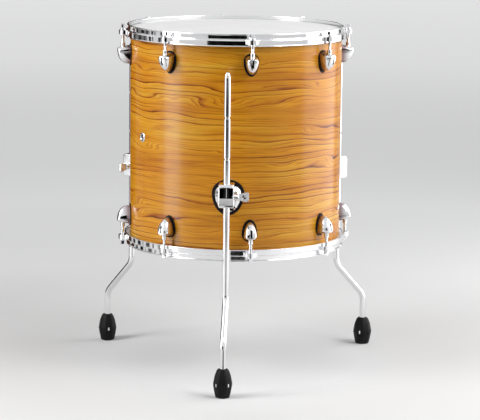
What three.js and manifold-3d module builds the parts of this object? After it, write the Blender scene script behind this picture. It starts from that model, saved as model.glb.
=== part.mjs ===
// Floor tom on three legs, in millimetres, +Z up.
// The drum's axis is vertical. Each lug, bracket and rod is drawn in a frame whose -Y points
// straight out of the drum, and is then turned about the axis by its azimuth, which is
// counted in degrees from the front (-Y), positive towards +X.

import * as THREE from "three";
import { mergeVertices } from "three/addons/utils/BufferGeometryUtils.js";
import loadManifold from "manifold-3d";

const wasm = await loadManifold();
wasm.setup();

// Clearances and cuts
const SEAT_GAP = 0.3; // between faces that rest on each other
const RUNNING_GAP = 0.4; // round a rod that slides or turns
const LEG_BORE_GAP = 0.6; // round a leg in its bracket's block
const HOLE_GAP = 0.8; // round a screw in the shell
const CUT_OVERRUN = 6; // how far a cutter runs past what it cuts
const WELD = 1e-4; // points closer than this are one point

// Facet counts
const RING_SIDES = 48;
const LEG_SIDES = 10;
const SMALL_SIDES = 8;
const SCREW_SIDES = 6;
const EGG_POINTS = 12;
const BEND_STEPS = 4;

// Shell
const SHELL_RADIUS = 202;
const SHELL_WALL = 7.5;
const SHELL_DEPTH = 406.4;
const SHELL_FLOOR_GAP = 241.8; // from the floor up to the lower bearing edge
const EDGE_OUTER_CUT = 2; // outer cut of the bearing edge, at 45 degrees

// Heads: film, collar and flesh hoop
const FILM = 0.5;
const COLLAR_THICKNESS = 1;
const COLLAR_GAP = 0.6;
const FLESH_HOOP_DROP = 4.9; // from the bearing edge down to the flesh hoop's top
const FLESH_HOOP_HEIGHT = 8;
const FLESH_HOOP_WIDTH = 6.4;

// Triple-flanged hoops
const HOOP_STEEL = 2.3;
const HOOP_GAP = 0.6;
const HOOP_RISE = 8; // from the bearing edge up to the lip
const HOOP_DROP = 14.8; // from the bearing edge down to the hoop's foot
const HOOP_LIP_REACH = 3.6;
const HOOP_LIP_DEPTH = 2;
const HOOP_FOOT_REACH = 2;
const EAR_HALF_WIDTH = 11;
const EAR_REACH = 8; // beyond the tension rod's axis
const EAR_DEPTH = 8;
const EAR_WALL = 2.2;
const EAR_ARC_STEPS = 4;

// Lugs
const LUG_COUNT = 8;
const LUG_DROP = 34.9; // from the bearing edge to the casting's flat end
const LUG_WIDTH = 24.5;
const LUG_LENGTH = 32;
const LUG_DEPTH = 26;
const LUG_SHOULDER = 7;
const LUG_STANDOFF = 15.2; // from the shell to the tension rod's axis
const LUG_LEVEL_SHARES = [0, 0.45, 0.72, 0.89, 0.98];
const LUG_DOME_POWER = 4; // 2 makes the casting's front an ellipse from above, more makes it squarer
const LUG_NOSE_POWER = 2.6; // the same for its outline from the side
const SLEEVE_RADIUS = 4.7;
const SLEEVE_RISE = 8.3;
const SLEEVE_ROOT = 6;
const LUG_PAD = 1.5;
const LUG_PAD_SIDE = 2.3;
const LUG_PAD_RISE = 6.7;
const LUG_PAD_TAIL = 3.5;
const LUG_ROOT = 0.35; // how deep the casting's flat back lies in the pad
const LUG_SCREW_RADIUS = 3;
const LUG_SCREW_REACH = 5; // into the casting, from the shell
const LUG_SCREW_HEAD_RADIUS = 7;
const LUG_SCREW_HEAD_TIP = 4.2;
const LUG_SCREW_HEAD_HEIGHT = 3.6;

// Tension rods
const TENSION_ROD_RADIUS = 2.9;
const ROD_ENGAGEMENT = 20; // length inside the lug
const ROD_END_SPACE = 2;
const WASHER_RADIUS = 6.2;
const WASHER_THICKNESS = 1.5;
const ROD_SQUARE = 6.4;
const ROD_SQUARE_HEIGHT = 9.6;

// Legs
const LEG_NAMES = ["front", "right", "left"];
const LEG_AZIMUTHS = [-11.5, 115.5, -131.5];
const LEG_SWIVELS = [0, -10.5, 0]; // how far each leg is turned in its bracket
const LEG_STANDOFF = 43; // from the shell to the rod's axis
const LEG_ROD_RADIUS = 6;
const LEG_TOP_HEIGHT = 590;
const LEG_TIP_LENGTH = 10;
const LEG_TIP_RADIUS = 2.4;
const LEG_TIP_SHOULDER = 4.8;
const LEG_TIP_SHOULDER_LENGTH = 4;
const LEG_GROOVE_HEIGHTS = [507, 431];
const LEG_GROOVE_LENGTH = 3;
const LEG_GROOVE_DEPTH = 1.3;
const LEG_BEND_RADIUS = 32;
const LEG_BEND_ANGLE = 42;
const LEG_KICK = 60.5; // sideways step of the rod below the drum
const LEG_LOWER_BEND_HEIGHT = 100;

// Rubber feet: height over the floor and radius
const FOOT_HEIGHT = 53;
const FOOT_TOP_RADIUS = 9.5;
const FOOT_SHOULDER_HEIGHT = 41;
const FOOT_SHOULDER_RADIUS = 15.5;
const FOOT_WAIST_HEIGHT = 25;
const FOOT_WAIST_RADIUS = 18.6;
const FOOT_SOLE_RADIUS = 11;
const FOOT_SOLE_EDGE_HEIGHT = 3;
const FOOT_SOLE_EDGE_RADIUS = 14;
const FOOT_SOLE_THICKNESS = 10;

// Leg brackets, with rises and falls counted from the widest line of the bracket's plate
const BRACKET_LUG_CLEARANCE = 8.3; // from the lower lugs' pads up to a bracket's pad
const BRACKET_PAD = 1.6;
const BRACKET_PAD_WIDTH = 60;
const BRACKET_PAD_RISE = 25.4;
const BRACKET_PAD_FALL = 41;
const PLATE_WIDTH = 48;
const PLATE_RISE = 18;
const PLATE_FALL = 35;
const PLATE_EDGE = 3.5;
const PLATE_CROWN = 9.5;
const PLATE_CROWN_WIDTH = 36;
const PLATE_CROWN_RISE = 13;
const PLATE_CROWN_FALL = 27;
const BLOCK_WIDTH = 29;
const BLOCK_FRONT = 56;
const BLOCK_RISE = 24.5;
const BLOCK_FALL = 20;
const BLOCK_NOSE = 3;
const BLOCK_SLOPE_TOP = 26;
const BLOCK_SLOPE_BOTTOM = 30;
const BLOCK_ROOT_RISE = 16;
const BLOCK_ROOT_FALL = 30;
const BLOCK_SIDE_BEVEL = 1.6;
const WINDOW_WIDTH = 25;
const WINDOW_RISE = 17.5;
const WINDOW_FALL = 0.5;
const POCKET_FALL = 10.5;
const POCKET_BACK = 29; // from the shell to the pocket's back wall
const POCKET_FRONT_WALL = 3;
const BOLT_PITCH = 30;
const BOLT_MIDDLE = -8; // middle of the two bolts below the widest line
const BOLT_RADIUS = 3;
const BOLT_REACH = 8;
const BOLT_HEAD_RADIUS = 6;
const BOLT_HEAD_HEIGHT = 5;
const BACKPLATE_WIDTH = 30;
const BACKPLATE_RISE = 14;
const BACKPLATE_FALL = 30;
const BACKPLATE_THICKNESS = 2.5;

// Bush round the leg in its bracket
const BUSH_RADIUS = 9.4;
const BUSH_SLOT = 6;

// Wing bolts, with lengths counted from the leg's axis
const WING_SHANK_RADIUS = 4;
const WING_HUB_RADIUS = 6.5;
const WING_HUB_LENGTH = 8;
const WING_HUB_GAP = 0.7;
const WING_REACH = 41;
const WING_ROOT = 19;
const WING_ROOT_HALF = 5;
const WING_WAIST = 25;
const WING_WAIST_HALF = 6.8;
const WING_TIP_HALF = 9.4;
const WING_TIP_CUT = 3;
const WING_THICKNESS = 5;

// Air vent
const VENT_AZIMUTH = -67.5;
const VENT_RISE = 5.5; // above the middle of the shell
const VENT_FLANGE_RADIUS = 9;
const VENT_FLANGE_THICKNESS = 1.6;
const VENT_TUBE_RADIUS = 6;
const VENT_BORE_RADIUS = 5;
const VENT_NUT_THICKNESS = 3;
const VENT_TUBE_OVERHANG = 1;

// Sizes that follow from the ones above
const shellInner = SHELL_RADIUS - SHELL_WALL;
const lowerEdge = SHELL_FLOOR_GAP;
const upperEdge = SHELL_FLOOR_GAP + SHELL_DEPTH;
const collarInner = SHELL_RADIUS + COLLAR_GAP;
const collarOuter = collarInner + COLLAR_THICKNESS;
const fleshOuter = collarInner + FLESH_HOOP_WIDTH;
const stepUnder = SEAT_GAP - FLESH_HOOP_DROP;
const stepTop = stepUnder + HOOP_STEEL;
const skirtOuter = fleshOuter + HOOP_GAP + HOOP_STEEL;
const rodCircle = SHELL_RADIUS + LUG_STANDOFF;
const legCircle = SHELL_RADIUS + LEG_STANDOFF;
const footCircle = legCircle + LEG_KICK;
const lugPadFoot = LUG_DROP + LUG_LENGTH + LUG_PAD_TAIL;
const bracketHeight = lowerEdge + lugPadFoot + BRACKET_LUG_CLEARANCE + BRACKET_PAD_FALL;
const pocketFront = BLOCK_FRONT - POCKET_FRONT_WALL;
const lugPitch = 360 / LUG_COUNT;

function radians(degrees) {
  return THREE.MathUtils.degToRad(degrees);
}

// How far a faceted ring falls away from its radius within a half width
function ringSag(radius, halfWidth) {
  const facet = radius * (1 - Math.cos(Math.PI / RING_SIDES));
  return facet + radius - Math.sqrt(radius * radius - halfWidth * halfWidth);
}

// A closed geometry with shared points, no empty triangles, and faces pointing out
function closedGeometry(geometry) {
  const bare = new THREE.BufferGeometry();
  bare.setAttribute("position", geometry.getAttribute("position").clone());
  if (geometry.index) bare.setIndex(geometry.index.clone());
  const merged = mergeVertices(bare, WELD);
  const points = merged.getAttribute("position");
  const corners = merged.index.array;
  const kept = [];
  const [a, b, c] = [new THREE.Vector3(), new THREE.Vector3(), new THREE.Vector3()];
  let volume = 0;
  for (let i = 0; i < corners.length; i += 3) {
    const [p, q, r] = [corners[i], corners[i + 1], corners[i + 2]];
    if (p === q || q === r || r === p) continue;
    kept.push(p, q, r);
    a.fromBufferAttribute(points, p);
    b.fromBufferAttribute(points, q);
    c.fromBufferAttribute(points, r);
    volume += a.dot(b.cross(c));
  }
  merged.setIndex(volume < 0 ? kept.reverse() : kept);
  return merged;
}

function toSolid(geometry) {
  const closed = closedGeometry(geometry);
  return new wasm.Manifold(new wasm.Mesh({
    numProp: 3,
    vertProperties: new Float32Array(closed.getAttribute("position").array),
    triVerts: new Uint32Array(closed.index.array),
  }));
}

function toGeometry(solid) {
  const mesh = solid.getMesh();
  const geometry = new THREE.BufferGeometry();
  geometry.setAttribute("position", new THREE.BufferAttribute(mesh.vertProperties, mesh.numProp));
  geometry.setIndex(new THREE.BufferAttribute(mesh.triVerts, 1));
  return geometry;
}

// A body turned about Z from [radius, height] pairs, its first corner at the front
function turned(profile, sides) {
  const points = profile.map(([radius, height]) => new THREE.Vector2(radius, height));
  return closedGeometry(new THREE.LatheGeometry(points, sides).rotateX(Math.PI / 2));
}

// A turned body whose profile is a closed loop off the axis
function turnedRing(profile, sides) {
  return turned([...profile, profile[0]], sides);
}

// A round bar along Z
function bar(radius, low, high, sides) {
  return turned([[0, low], [radius, low], [radius, high], [0, high]], sides);
}

// A round bar along Y, out of the drum, from one distance to another at a height
function radialBar(radius, inner, outer, height, sides) {
  return bar(radius, inner, outer, sides).rotateX(Math.PI / 2).translate(0, 0, height);
}

// A box from its low corner to its high corner
function block(low, high) {
  const size = high.map((value, axis) => value - low[axis]);
  const middle = high.map((value, axis) => (value + low[axis]) / 2);
  return new THREE.BoxGeometry(...size).translate(...middle);
}

// Skins equal rings of points and closes both ends round their middles
function loft(rings) {
  const points = rings.flat();
  const count = rings[0].length;
  const corners = [];
  for (let ring = 0; ring + 1 < rings.length; ring += 1) {
    for (let i = 0; i < count; i += 1) {
      const next = (i + 1) % count;
      const [a, b] = [ring * count + i, ring * count + next];
      const [c, d] = [a + count, b + count];
      corners.push(a, b, d, a, d, c);
    }
  }
  for (const [ring, flip] of [[0, true], [rings.length - 1, false]]) {
    const middle = new THREE.Vector3();
    rings[ring].forEach((point) => middle.addScaledVector(point, 1 / count));
    const hub = points.push(middle) - 1;
    for (let i = 0; i < count; i += 1) {
      const [a, b] = [ring * count + i, ring * count + (i + 1) % count];
      corners.push(...(flip ? [b, a, hub] : [a, b, hub]));
    }
  }
  const geometry = new THREE.BufferGeometry().setFromPoints(points);
  geometry.setIndex(corners);
  return closedGeometry(geometry);
}

// An egg outline: its widest line at height, half an ellipse above and a longer one below
function eggPoints(halfWidth, rise, fall, height) {
  return Array.from({ length: EGG_POINTS }, (_, i) => {
    const angle = 2 * Math.PI * i / EGG_POINTS;
    const reach = Math.sin(angle) > 0 ? rise : fall;
    return new THREE.Vector2(halfWidth * Math.cos(angle), height + reach * Math.sin(angle));
  });
}

function eggRing(halfWidth, rise, fall, height, out) {
  return eggPoints(halfWidth, rise, fall, height).map(({ x, y }) => new THREE.Vector3(x, -out, y));
}

// A round core of the drum's own facets, seen from a piece at an azimuth
function drumCore(radius, azimuth, middle, halfHeight) {
  const core = bar(radius, middle - halfHeight, middle + halfHeight, RING_SIDES);
  return toSolid(core.rotateZ(radians(-azimuth)));
}

// A pad with an egg outline that follows the drum's curve between two radii
function curvedPad(outline, inner, outer, azimuth) {
  const [halfWidth, rise, fall, height] = outline;
  const reach = rise + fall + CUT_OVERRUN;
  const rough = toSolid(loft([
    eggRing(halfWidth, rise, fall, height, inner - ringSag(inner, halfWidth) - CUT_OVERRUN),
    eggRing(halfWidth, rise, fall, height, outer + CUT_OVERRUN),
  ]));
  return rough
    .intersect(drumCore(outer, azimuth, height, reach))
    .subtract(drumCore(inner, azimuth, height, reach + CUT_OVERRUN));
}

// Shell

const lugScrewHeight = -LUG_DROP - (LUG_LENGTH + LUG_PAD_TAIL - LUG_PAD_RISE) / 2;
const boltHeights = [-1, 1].map((side) => bracketHeight + BOLT_MIDDLE + side * BOLT_PITCH / 2);
const ventHeight = (lowerEdge + upperEdge) / 2 + VENT_RISE;

function shellGeometry() {
  const crest = SHELL_RADIUS - EDGE_OUTER_CUT;
  const innerCut = crest - shellInner;
  let shell = toSolid(turnedRing([
    [crest, lowerEdge],
    [SHELL_RADIUS, lowerEdge + EDGE_OUTER_CUT],
    [SHELL_RADIUS, upperEdge - EDGE_OUTER_CUT],
    [crest, upperEdge],
    [shellInner, upperEdge - innerCut],
    [shellInner, lowerEdge + innerCut],
  ], RING_SIDES));
  const drill = (radius, height, azimuth, sides) => {
    const hole = radialBar(radius, shellInner - CUT_OVERRUN, SHELL_RADIUS + CUT_OVERRUN, height, sides);
    shell = shell.subtract(toSolid(hole.rotateZ(radians(azimuth))));
  };
  for (let i = 0; i < LUG_COUNT; i += 1) {
    for (const height of [upperEdge + lugScrewHeight, lowerEdge - lugScrewHeight]) {
      drill(LUG_SCREW_RADIUS + HOLE_GAP, height, i * lugPitch, SCREW_SIDES);
    }
  }
  for (const azimuth of LEG_AZIMUTHS) {
    boltHeights.forEach((height) => drill(BOLT_RADIUS + HOLE_GAP, height, azimuth, SCREW_SIDES));
  }
  drill(VENT_TUBE_RADIUS + HOLE_GAP, ventHeight, VENT_AZIMUTH, SMALL_SIDES);
  return toGeometry(shell);
}

// Heads and hoops, drawn for the upper end with heights counted from the bearing edge

function headGeometry() {
  const fleshFoot = -FLESH_HOOP_DROP - FLESH_HOOP_HEIGHT;
  return turned([
    [0, SEAT_GAP],
    [collarInner, SEAT_GAP],
    [collarInner, fleshFoot],
    [fleshOuter, fleshFoot],
    [fleshOuter, -FLESH_HOOP_DROP],
    [collarOuter, -FLESH_HOOP_DROP],
    [collarOuter, SEAT_GAP],
    [collarInner, SEAT_GAP + FILM],
    [0, SEAT_GAP + FILM],
  ], RING_SIDES);
}

// One ear's outline in plan, for extrusion up Z
function earShape(halfWidth, innerRadius, tipRadius) {
  const shape = new THREE.Shape();
  shape.moveTo(-halfWidth, -innerRadius);
  shape.absellipse(0, halfWidth - tipRadius, halfWidth, halfWidth, Math.PI, 2 * Math.PI, false);
  shape.lineTo(halfWidth, -innerRadius);
  return shape;
}

function raised(shape, low, high) {
  const options = { depth: high - low, bevelEnabled: false, curveSegments: EAR_ARC_STEPS };
  return new THREE.ExtrudeGeometry(shape, options).translate(0, 0, low);
}

function hoopGeometry() {
  const wallInner = collarOuter + HOOP_GAP;
  const wallOuter = wallInner + HOOP_STEEL;
  const skirtInner = skirtOuter - HOOP_STEEL;
  const lip = wallOuter + HOOP_LIP_REACH;
  const foot = skirtOuter + HOOP_FOOT_REACH;
  let hoop = toSolid(turnedRing([
    [wallInner, stepUnder],
    [skirtInner, stepUnder],
    [skirtInner, -HOOP_DROP],
    [foot, -HOOP_DROP],
    [skirtOuter, HOOP_FOOT_REACH - HOOP_DROP],
    [skirtOuter, stepTop],
    [wallOuter, stepTop],
    [wallOuter, HOOP_RISE - HOOP_LIP_DEPTH - HOOP_LIP_REACH / 2],
    [lip, HOOP_RISE - HOOP_LIP_DEPTH],
    [lip, HOOP_RISE],
    [wallInner, HOOP_RISE],
  ], RING_SIDES));
  const tip = rodCircle + EAR_REACH;
  const root = skirtOuter - HOOP_STEEL / 2;
  const earOuter = raised(earShape(EAR_HALF_WIDTH, root, tip), stepTop - EAR_DEPTH, stepTop);
  const hollowShape = earShape(EAR_HALF_WIDTH - EAR_WALL, skirtOuter, tip - EAR_WALL);
  const earHollow = raised(hollowShape, -HOOP_DROP - CUT_OVERRUN, stepTop - HOOP_STEEL);
  const hole = bar(TENSION_ROD_RADIUS + RUNNING_GAP, -HOOP_DROP, stepTop + CUT_OVERRUN, SMALL_SIDES);
  hole.translate(0, -rodCircle, 0);
  const solids = [earOuter, earHollow, hole];
  for (let i = 0; i < LUG_COUNT; i += 1) {
    const [ear, hollow, drill] = solids.map((shape) => toSolid(shape.clone().rotateZ(radians(i * lugPitch))));
    hoop = hoop.add(ear).subtract(hollow).subtract(drill);
  }
  return toGeometry(hoop);
}

// Lugs and tension rods, drawn for the upper end in the frame of one lug

// The screw that comes through the shell from inside, its head on the shell's inner wall
function lugScrew() {
  const seat = shellInner - ringSag(shellInner, LUG_SCREW_HEAD_RADIUS) - SEAT_GAP;
  const screw = turned([
    [0, SHELL_RADIUS + LUG_SCREW_REACH],
    [LUG_SCREW_RADIUS, SHELL_RADIUS + LUG_SCREW_REACH],
    [LUG_SCREW_RADIUS, seat],
    [LUG_SCREW_HEAD_RADIUS, seat],
    [LUG_SCREW_HEAD_TIP, seat - LUG_SCREW_HEAD_HEIGHT],
    [0, seat - LUG_SCREW_HEAD_HEIGHT],
  ], SCREW_SIDES);
  return toSolid(screw.rotateX(Math.PI / 2).translate(0, 0, lugScrewHeight));
}

function lugGeometry() {
  const seat = SHELL_RADIUS + SEAT_GAP;
  const widest = -LUG_DROP - LUG_SHOULDER;
  const half = LUG_WIDTH / 2;
  const rings = LUG_LEVEL_SHARES.map((share) => {
    const narrowing = (1 - share ** LUG_DOME_POWER) ** (1 / LUG_DOME_POWER);
    const length = LUG_LENGTH * (1 - share ** LUG_NOSE_POWER) ** (1 / LUG_NOSE_POWER);
    const rise = Math.min(LUG_SHOULDER * narrowing, length / 2);
    return eggRing(half * narrowing, rise, length - rise, -LUG_DROP - rise, seat + LUG_DEPTH * share);
  });
  rings[0].forEach((point) => { point.y = -seat - LUG_ROOT; });
  const sleeveTop = SLEEVE_RISE - LUG_DROP;
  const sleeve = bar(SLEEVE_RADIUS, -LUG_DROP - SLEEVE_ROOT, sleeveTop, SMALL_SIDES);
  const pad = [
    half + LUG_PAD_SIDE,
    LUG_SHOULDER + LUG_PAD_RISE,
    LUG_LENGTH - LUG_SHOULDER + LUG_PAD_TAIL,
    widest,
  ];
  const boreDepth = ROD_ENGAGEMENT + ROD_END_SPACE;
  const boreRadius = TENSION_ROD_RADIUS + RUNNING_GAP;
  const bore = bar(boreRadius, sleeveTop - boreDepth, sleeveTop + CUT_OVERRUN, SMALL_SIDES);
  const lug = toSolid(loft(rings))
    .add(toSolid(sleeve.translate(0, -rodCircle, 0)))
    .add(curvedPad(pad, seat, seat + LUG_PAD, 0))
    .add(lugScrew())
    .subtract(toSolid(bore.translate(0, -rodCircle, 0)));
  return toGeometry(lug);
}

function tensionRodGeometry() {
  const foot = SLEEVE_RISE - LUG_DROP - ROD_ENGAGEMENT;
  const seat = stepTop + SEAT_GAP;
  const washerTop = seat + WASHER_THICKNESS;
  const half = ROD_SQUARE / 2;
  const rod = toSolid(turned([
    [0, foot],
    [TENSION_ROD_RADIUS, foot],
    [TENSION_ROD_RADIUS, seat],
    [WASHER_RADIUS, seat],
    [WASHER_RADIUS, washerTop],
    [0, washerTop],
  ], SMALL_SIDES));
  const square = block([-half, -half, washerTop - SEAT_GAP], [half, half, washerTop + ROD_SQUARE_HEIGHT]);
  return toGeometry(rod.add(toSolid(square))).translate(0, -rodCircle, 0);
}

// Leg brackets, drawn in the frame of one leg with heights over the floor

function bracketOutline(halfWidth, rise, fall) {
  return [halfWidth, rise, fall, bracketHeight];
}

function bracketGasketGeometry(azimuth) {
  const inner = SHELL_RADIUS + SEAT_GAP;
  const outline = bracketOutline(BRACKET_PAD_WIDTH / 2, BRACKET_PAD_RISE, BRACKET_PAD_FALL);
  let gasket = curvedPad(outline, inner, inner + BRACKET_PAD, azimuth);
  for (const height of boltHeights) {
    const outer = inner + BRACKET_PAD + CUT_OVERRUN;
    const hole = radialBar(BOLT_RADIUS + HOLE_GAP, inner - CUT_OVERRUN, outer, height, SCREW_SIDES);
    gasket = gasket.subtract(toSolid(hole));
  }
  return toGeometry(gasket);
}

// The block that holds the leg, from its side outline of [distance from the shell, height]
function bracketBlock() {
  const top = bracketHeight + BLOCK_RISE;
  const foot = bracketHeight - BLOCK_FALL;
  const outline = [
    [0, bracketHeight - BLOCK_ROOT_FALL],
    [BLOCK_SLOPE_BOTTOM, foot],
    [BLOCK_FRONT - BLOCK_NOSE, foot],
    [BLOCK_FRONT, foot + BLOCK_NOSE],
    [BLOCK_FRONT, top - BLOCK_NOSE],
    [BLOCK_FRONT - BLOCK_NOSE, top],
    [BLOCK_SLOPE_TOP, top],
    [0, bracketHeight + BLOCK_ROOT_RISE],
  ];
  const shape = new THREE.Shape(outline.map(([out, height]) => new THREE.Vector2(out, height)));
  const bevel = {
    bevelEnabled: true,
    bevelThickness: BLOCK_SIDE_BEVEL,
    bevelSize: BLOCK_SIDE_BEVEL,
    bevelOffset: -BLOCK_SIDE_BEVEL,
    bevelSegments: 1,
  };
  const depth = BLOCK_WIDTH - 2 * BLOCK_SIDE_BEVEL;
  const geometry = new THREE.ExtrudeGeometry(shape, { depth, ...bevel });
  const toBracket = new THREE.Matrix4().set(
    0, 0, 1, -depth / 2,
    -1, 0, 0, -SHELL_RADIUS,
    0, 1, 0, 0,
    0, 0, 0, 1,
  );
  return toSolid(geometry.applyMatrix4(toBracket));
}

function bracketGeometry(azimuth) {
  const seat = SHELL_RADIUS + SEAT_GAP + BRACKET_PAD + SEAT_GAP;
  const half = WINDOW_WIDTH / 2;
  const pocketTop = bracketHeight + WINDOW_RISE;
  const front = -SHELL_RADIUS - BLOCK_FRONT - CUT_OVERRUN;
  const back = -SHELL_RADIUS - POCKET_BACK;
  const low = bracketHeight - BLOCK_FALL - CUT_OVERRUN;
  const high = bracketHeight + BLOCK_RISE + CUT_OVERRUN;
  const plate = loft([
    eggRing(PLATE_WIDTH / 2, PLATE_RISE, PLATE_FALL, bracketHeight, seat - CUT_OVERRUN),
    eggRing(PLATE_WIDTH / 2, PLATE_RISE, PLATE_FALL, bracketHeight, seat + PLATE_EDGE),
    eggRing(PLATE_CROWN_WIDTH / 2, PLATE_CROWN_RISE, PLATE_CROWN_FALL, bracketHeight, seat + PLATE_CROWN),
  ]);
  const pocket = block(
    [-half, -SHELL_RADIUS - pocketFront, bracketHeight - POCKET_FALL],
    [half, back, pocketTop],
  );
  const window = block(
    [-half, front, bracketHeight - WINDOW_FALL],
    [half, back - RUNNING_GAP, pocketTop],
  );
  const bore = bar(LEG_ROD_RADIUS + LEG_BORE_GAP, low, high, LEG_SIDES).translate(0, -legCircle, 0);
  const wingHole = bar(WING_SHANK_RADIUS + RUNNING_GAP, 0, BLOCK_WIDTH, SMALL_SIDES)
    .rotateY(Math.PI / 2)
    .translate(0, -legCircle, bracketHeight);
  let bracket = toSolid(plate)
    .add(bracketBlock())
    .subtract(drumCore(seat, azimuth, bracketHeight, BRACKET_PAD_WIDTH))
    .subtract(toSolid(pocket))
    .subtract(toSolid(window))
    .subtract(toSolid(bore))
    .subtract(toSolid(wingHole));
  for (const height of boltHeights) {
    const end = SHELL_RADIUS + BOLT_REACH + RUNNING_GAP;
    const hole = radialBar(BOLT_RADIUS + RUNNING_GAP, seat - CUT_OVERRUN, end, height, SCREW_SIDES);
    bracket = bracket.subtract(toSolid(hole));
  }
  return toGeometry(bracket);
}

// Curved plate inside the shell with the two bolts that hold the bracket
function backplateGeometry(azimuth) {
  const facetDepth = shellInner * (1 - Math.cos(Math.PI / RING_SIDES));
  const outer = shellInner - SEAT_GAP;
  const outline = bracketOutline(BACKPLATE_WIDTH / 2, BACKPLATE_RISE, BACKPLATE_FALL);
  let plate = curvedPad(outline, outer - BACKPLATE_THICKNESS, outer, azimuth);
  for (const height of boltHeights) {
    const root = outer - BACKPLATE_THICKNESS / 2 - facetDepth;
    const shank = radialBar(BOLT_RADIUS, root, SHELL_RADIUS + BOLT_REACH, height, SCREW_SIDES);
    const head = radialBar(BOLT_HEAD_RADIUS, root - BOLT_HEAD_HEIGHT, root, height, SCREW_SIDES);
    plate = plate.add(toSolid(shank)).add(toSolid(head));
  }
  return toGeometry(plate);
}

// Split bush round the leg, which turns with the leg while the leg slides through it
function bushGeometry() {
  const low = bracketHeight - POCKET_FALL + SEAT_GAP;
  const high = bracketHeight + WINDOW_RISE - SEAT_GAP;
  const inner = LEG_ROD_RADIUS + RUNNING_GAP;
  const half = BUSH_SLOT / 2;
  const tube = turnedRing([[inner, low], [BUSH_RADIUS, low], [BUSH_RADIUS, high], [inner, high]], LEG_SIDES);
  const slot = block(
    [-half, -BUSH_RADIUS - CUT_OVERRUN, low - CUT_OVERRUN],
    [half, 0, high + CUT_OVERRUN],
  );
  return toGeometry(toSolid(tube).subtract(toSolid(slot))).translate(0, -legCircle, 0);
}

function wingBoltGeometry() {
  const start = BUSH_RADIUS + SEAT_GAP;
  const hubStart = BLOCK_WIDTH / 2 + WING_HUB_GAP;
  const hubEnd = hubStart + WING_HUB_LENGTH;
  const bolt = turned([
    [0, start],
    [WING_SHANK_RADIUS, start],
    [WING_SHANK_RADIUS, hubStart],
    [WING_HUB_RADIUS, hubStart],
    [WING_HUB_RADIUS, hubEnd],
    [0, hubEnd],
  ], SMALL_SIDES).rotateY(Math.PI / 2);
  const upper = [
    [WING_ROOT, WING_ROOT_HALF],
    [WING_WAIST, WING_WAIST_HALF],
    [WING_REACH - WING_TIP_CUT, WING_TIP_HALF],
    [WING_REACH, WING_TIP_HALF - WING_TIP_CUT],
  ];
  const lower = upper.map(([out, half]) => [out, -half]).reverse();
  const shape = new THREE.Shape([...upper, ...lower].map(([out, half]) => new THREE.Vector2(out, half)));
  const wing = new THREE.ExtrudeGeometry(shape, { depth: WING_THICKNESS, bevelEnabled: false })
    .translate(0, 0, -WING_THICKNESS / 2)
    .rotateX(Math.PI / 2);
  return toGeometry(toSolid(bolt).add(toSolid(wing))).translate(0, -legCircle, bracketHeight);
}

// Legs and feet

// One ring of a rod whose axis leans out by an angle from straight down
function legRing(out, height, lean, radius) {
  return Array.from({ length: LEG_SIDES }, (_, i) => {
    const angle = 2 * Math.PI * i / LEG_SIDES;
    const across = radius * Math.sin(angle);
    const away = radius * Math.cos(angle);
    return new THREE.Vector3(across, -out - away * Math.cos(lean), height + away * Math.sin(lean));
  });
}

function legGeometry() {
  const angle = radians(LEG_BEND_ANGLE);
  const tangent = LEG_BEND_RADIUS * Math.tan(angle / 2);
  const upperCorner = LEG_LOWER_BEND_HEIGHT + LEG_KICK / Math.tan(angle);
  const rings = [
    legRing(legCircle, LEG_TOP_HEIGHT, 0, LEG_TIP_RADIUS),
    legRing(legCircle, LEG_TOP_HEIGHT - LEG_TIP_SHOULDER_LENGTH, 0, LEG_TIP_SHOULDER),
    legRing(legCircle, LEG_TOP_HEIGHT - LEG_TIP_LENGTH, 0, LEG_ROD_RADIUS),
  ];
  for (const height of LEG_GROOVE_HEIGHTS) {
    const half = LEG_GROOVE_LENGTH / 2;
    rings.push(legRing(legCircle, height + half, 0, LEG_ROD_RADIUS));
    rings.push(legRing(legCircle, height, 0, LEG_ROD_RADIUS - LEG_GROOVE_DEPTH));
    rings.push(legRing(legCircle, height - half, 0, LEG_ROD_RADIUS));
  }
  for (let i = 0; i <= BEND_STEPS; i += 1) {
    const lean = angle * i / BEND_STEPS;
    const out = legCircle + LEG_BEND_RADIUS * (1 - Math.cos(lean));
    const height = upperCorner + tangent - LEG_BEND_RADIUS * Math.sin(lean);
    rings.push(legRing(out, height, lean, LEG_ROD_RADIUS));
  }
  for (let i = BEND_STEPS; i >= 0; i -= 1) {
    const lean = angle * i / BEND_STEPS;
    const out = footCircle - LEG_BEND_RADIUS * (1 - Math.cos(lean));
    const height = LEG_LOWER_BEND_HEIGHT - tangent + LEG_BEND_RADIUS * Math.sin(lean);
    rings.push(legRing(out, height, lean, LEG_ROD_RADIUS));
  }
  rings.push(legRing(footCircle, FOOT_SOLE_THICKNESS + SEAT_GAP, 0, LEG_ROD_RADIUS));
  return loft(rings);
}

function footGeometry() {
  const bore = LEG_ROD_RADIUS + SEAT_GAP;
  const foot = turned([
    [0, 0],
    [FOOT_SOLE_RADIUS, 0],
    [FOOT_SOLE_EDGE_RADIUS, FOOT_SOLE_EDGE_HEIGHT],
    [FOOT_WAIST_RADIUS, FOOT_WAIST_HEIGHT],
    [FOOT_SHOULDER_RADIUS, FOOT_SHOULDER_HEIGHT],
    [FOOT_TOP_RADIUS, FOOT_HEIGHT],
    [bore, FOOT_HEIGHT],
    [bore, FOOT_SOLE_THICKNESS],
    [0, FOOT_SOLE_THICKNESS],
  ], LEG_SIDES);
  return foot.translate(0, -footCircle, 0);
}

// Turns a leg or its foot about the axis of the leg's upper rod
function swivelled(geometry, turn) {
  return geometry.clone().translate(0, legCircle, 0).rotateZ(radians(turn)).translate(0, -legCircle, 0);
}

// Air vent, drawn in its own frame

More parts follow.
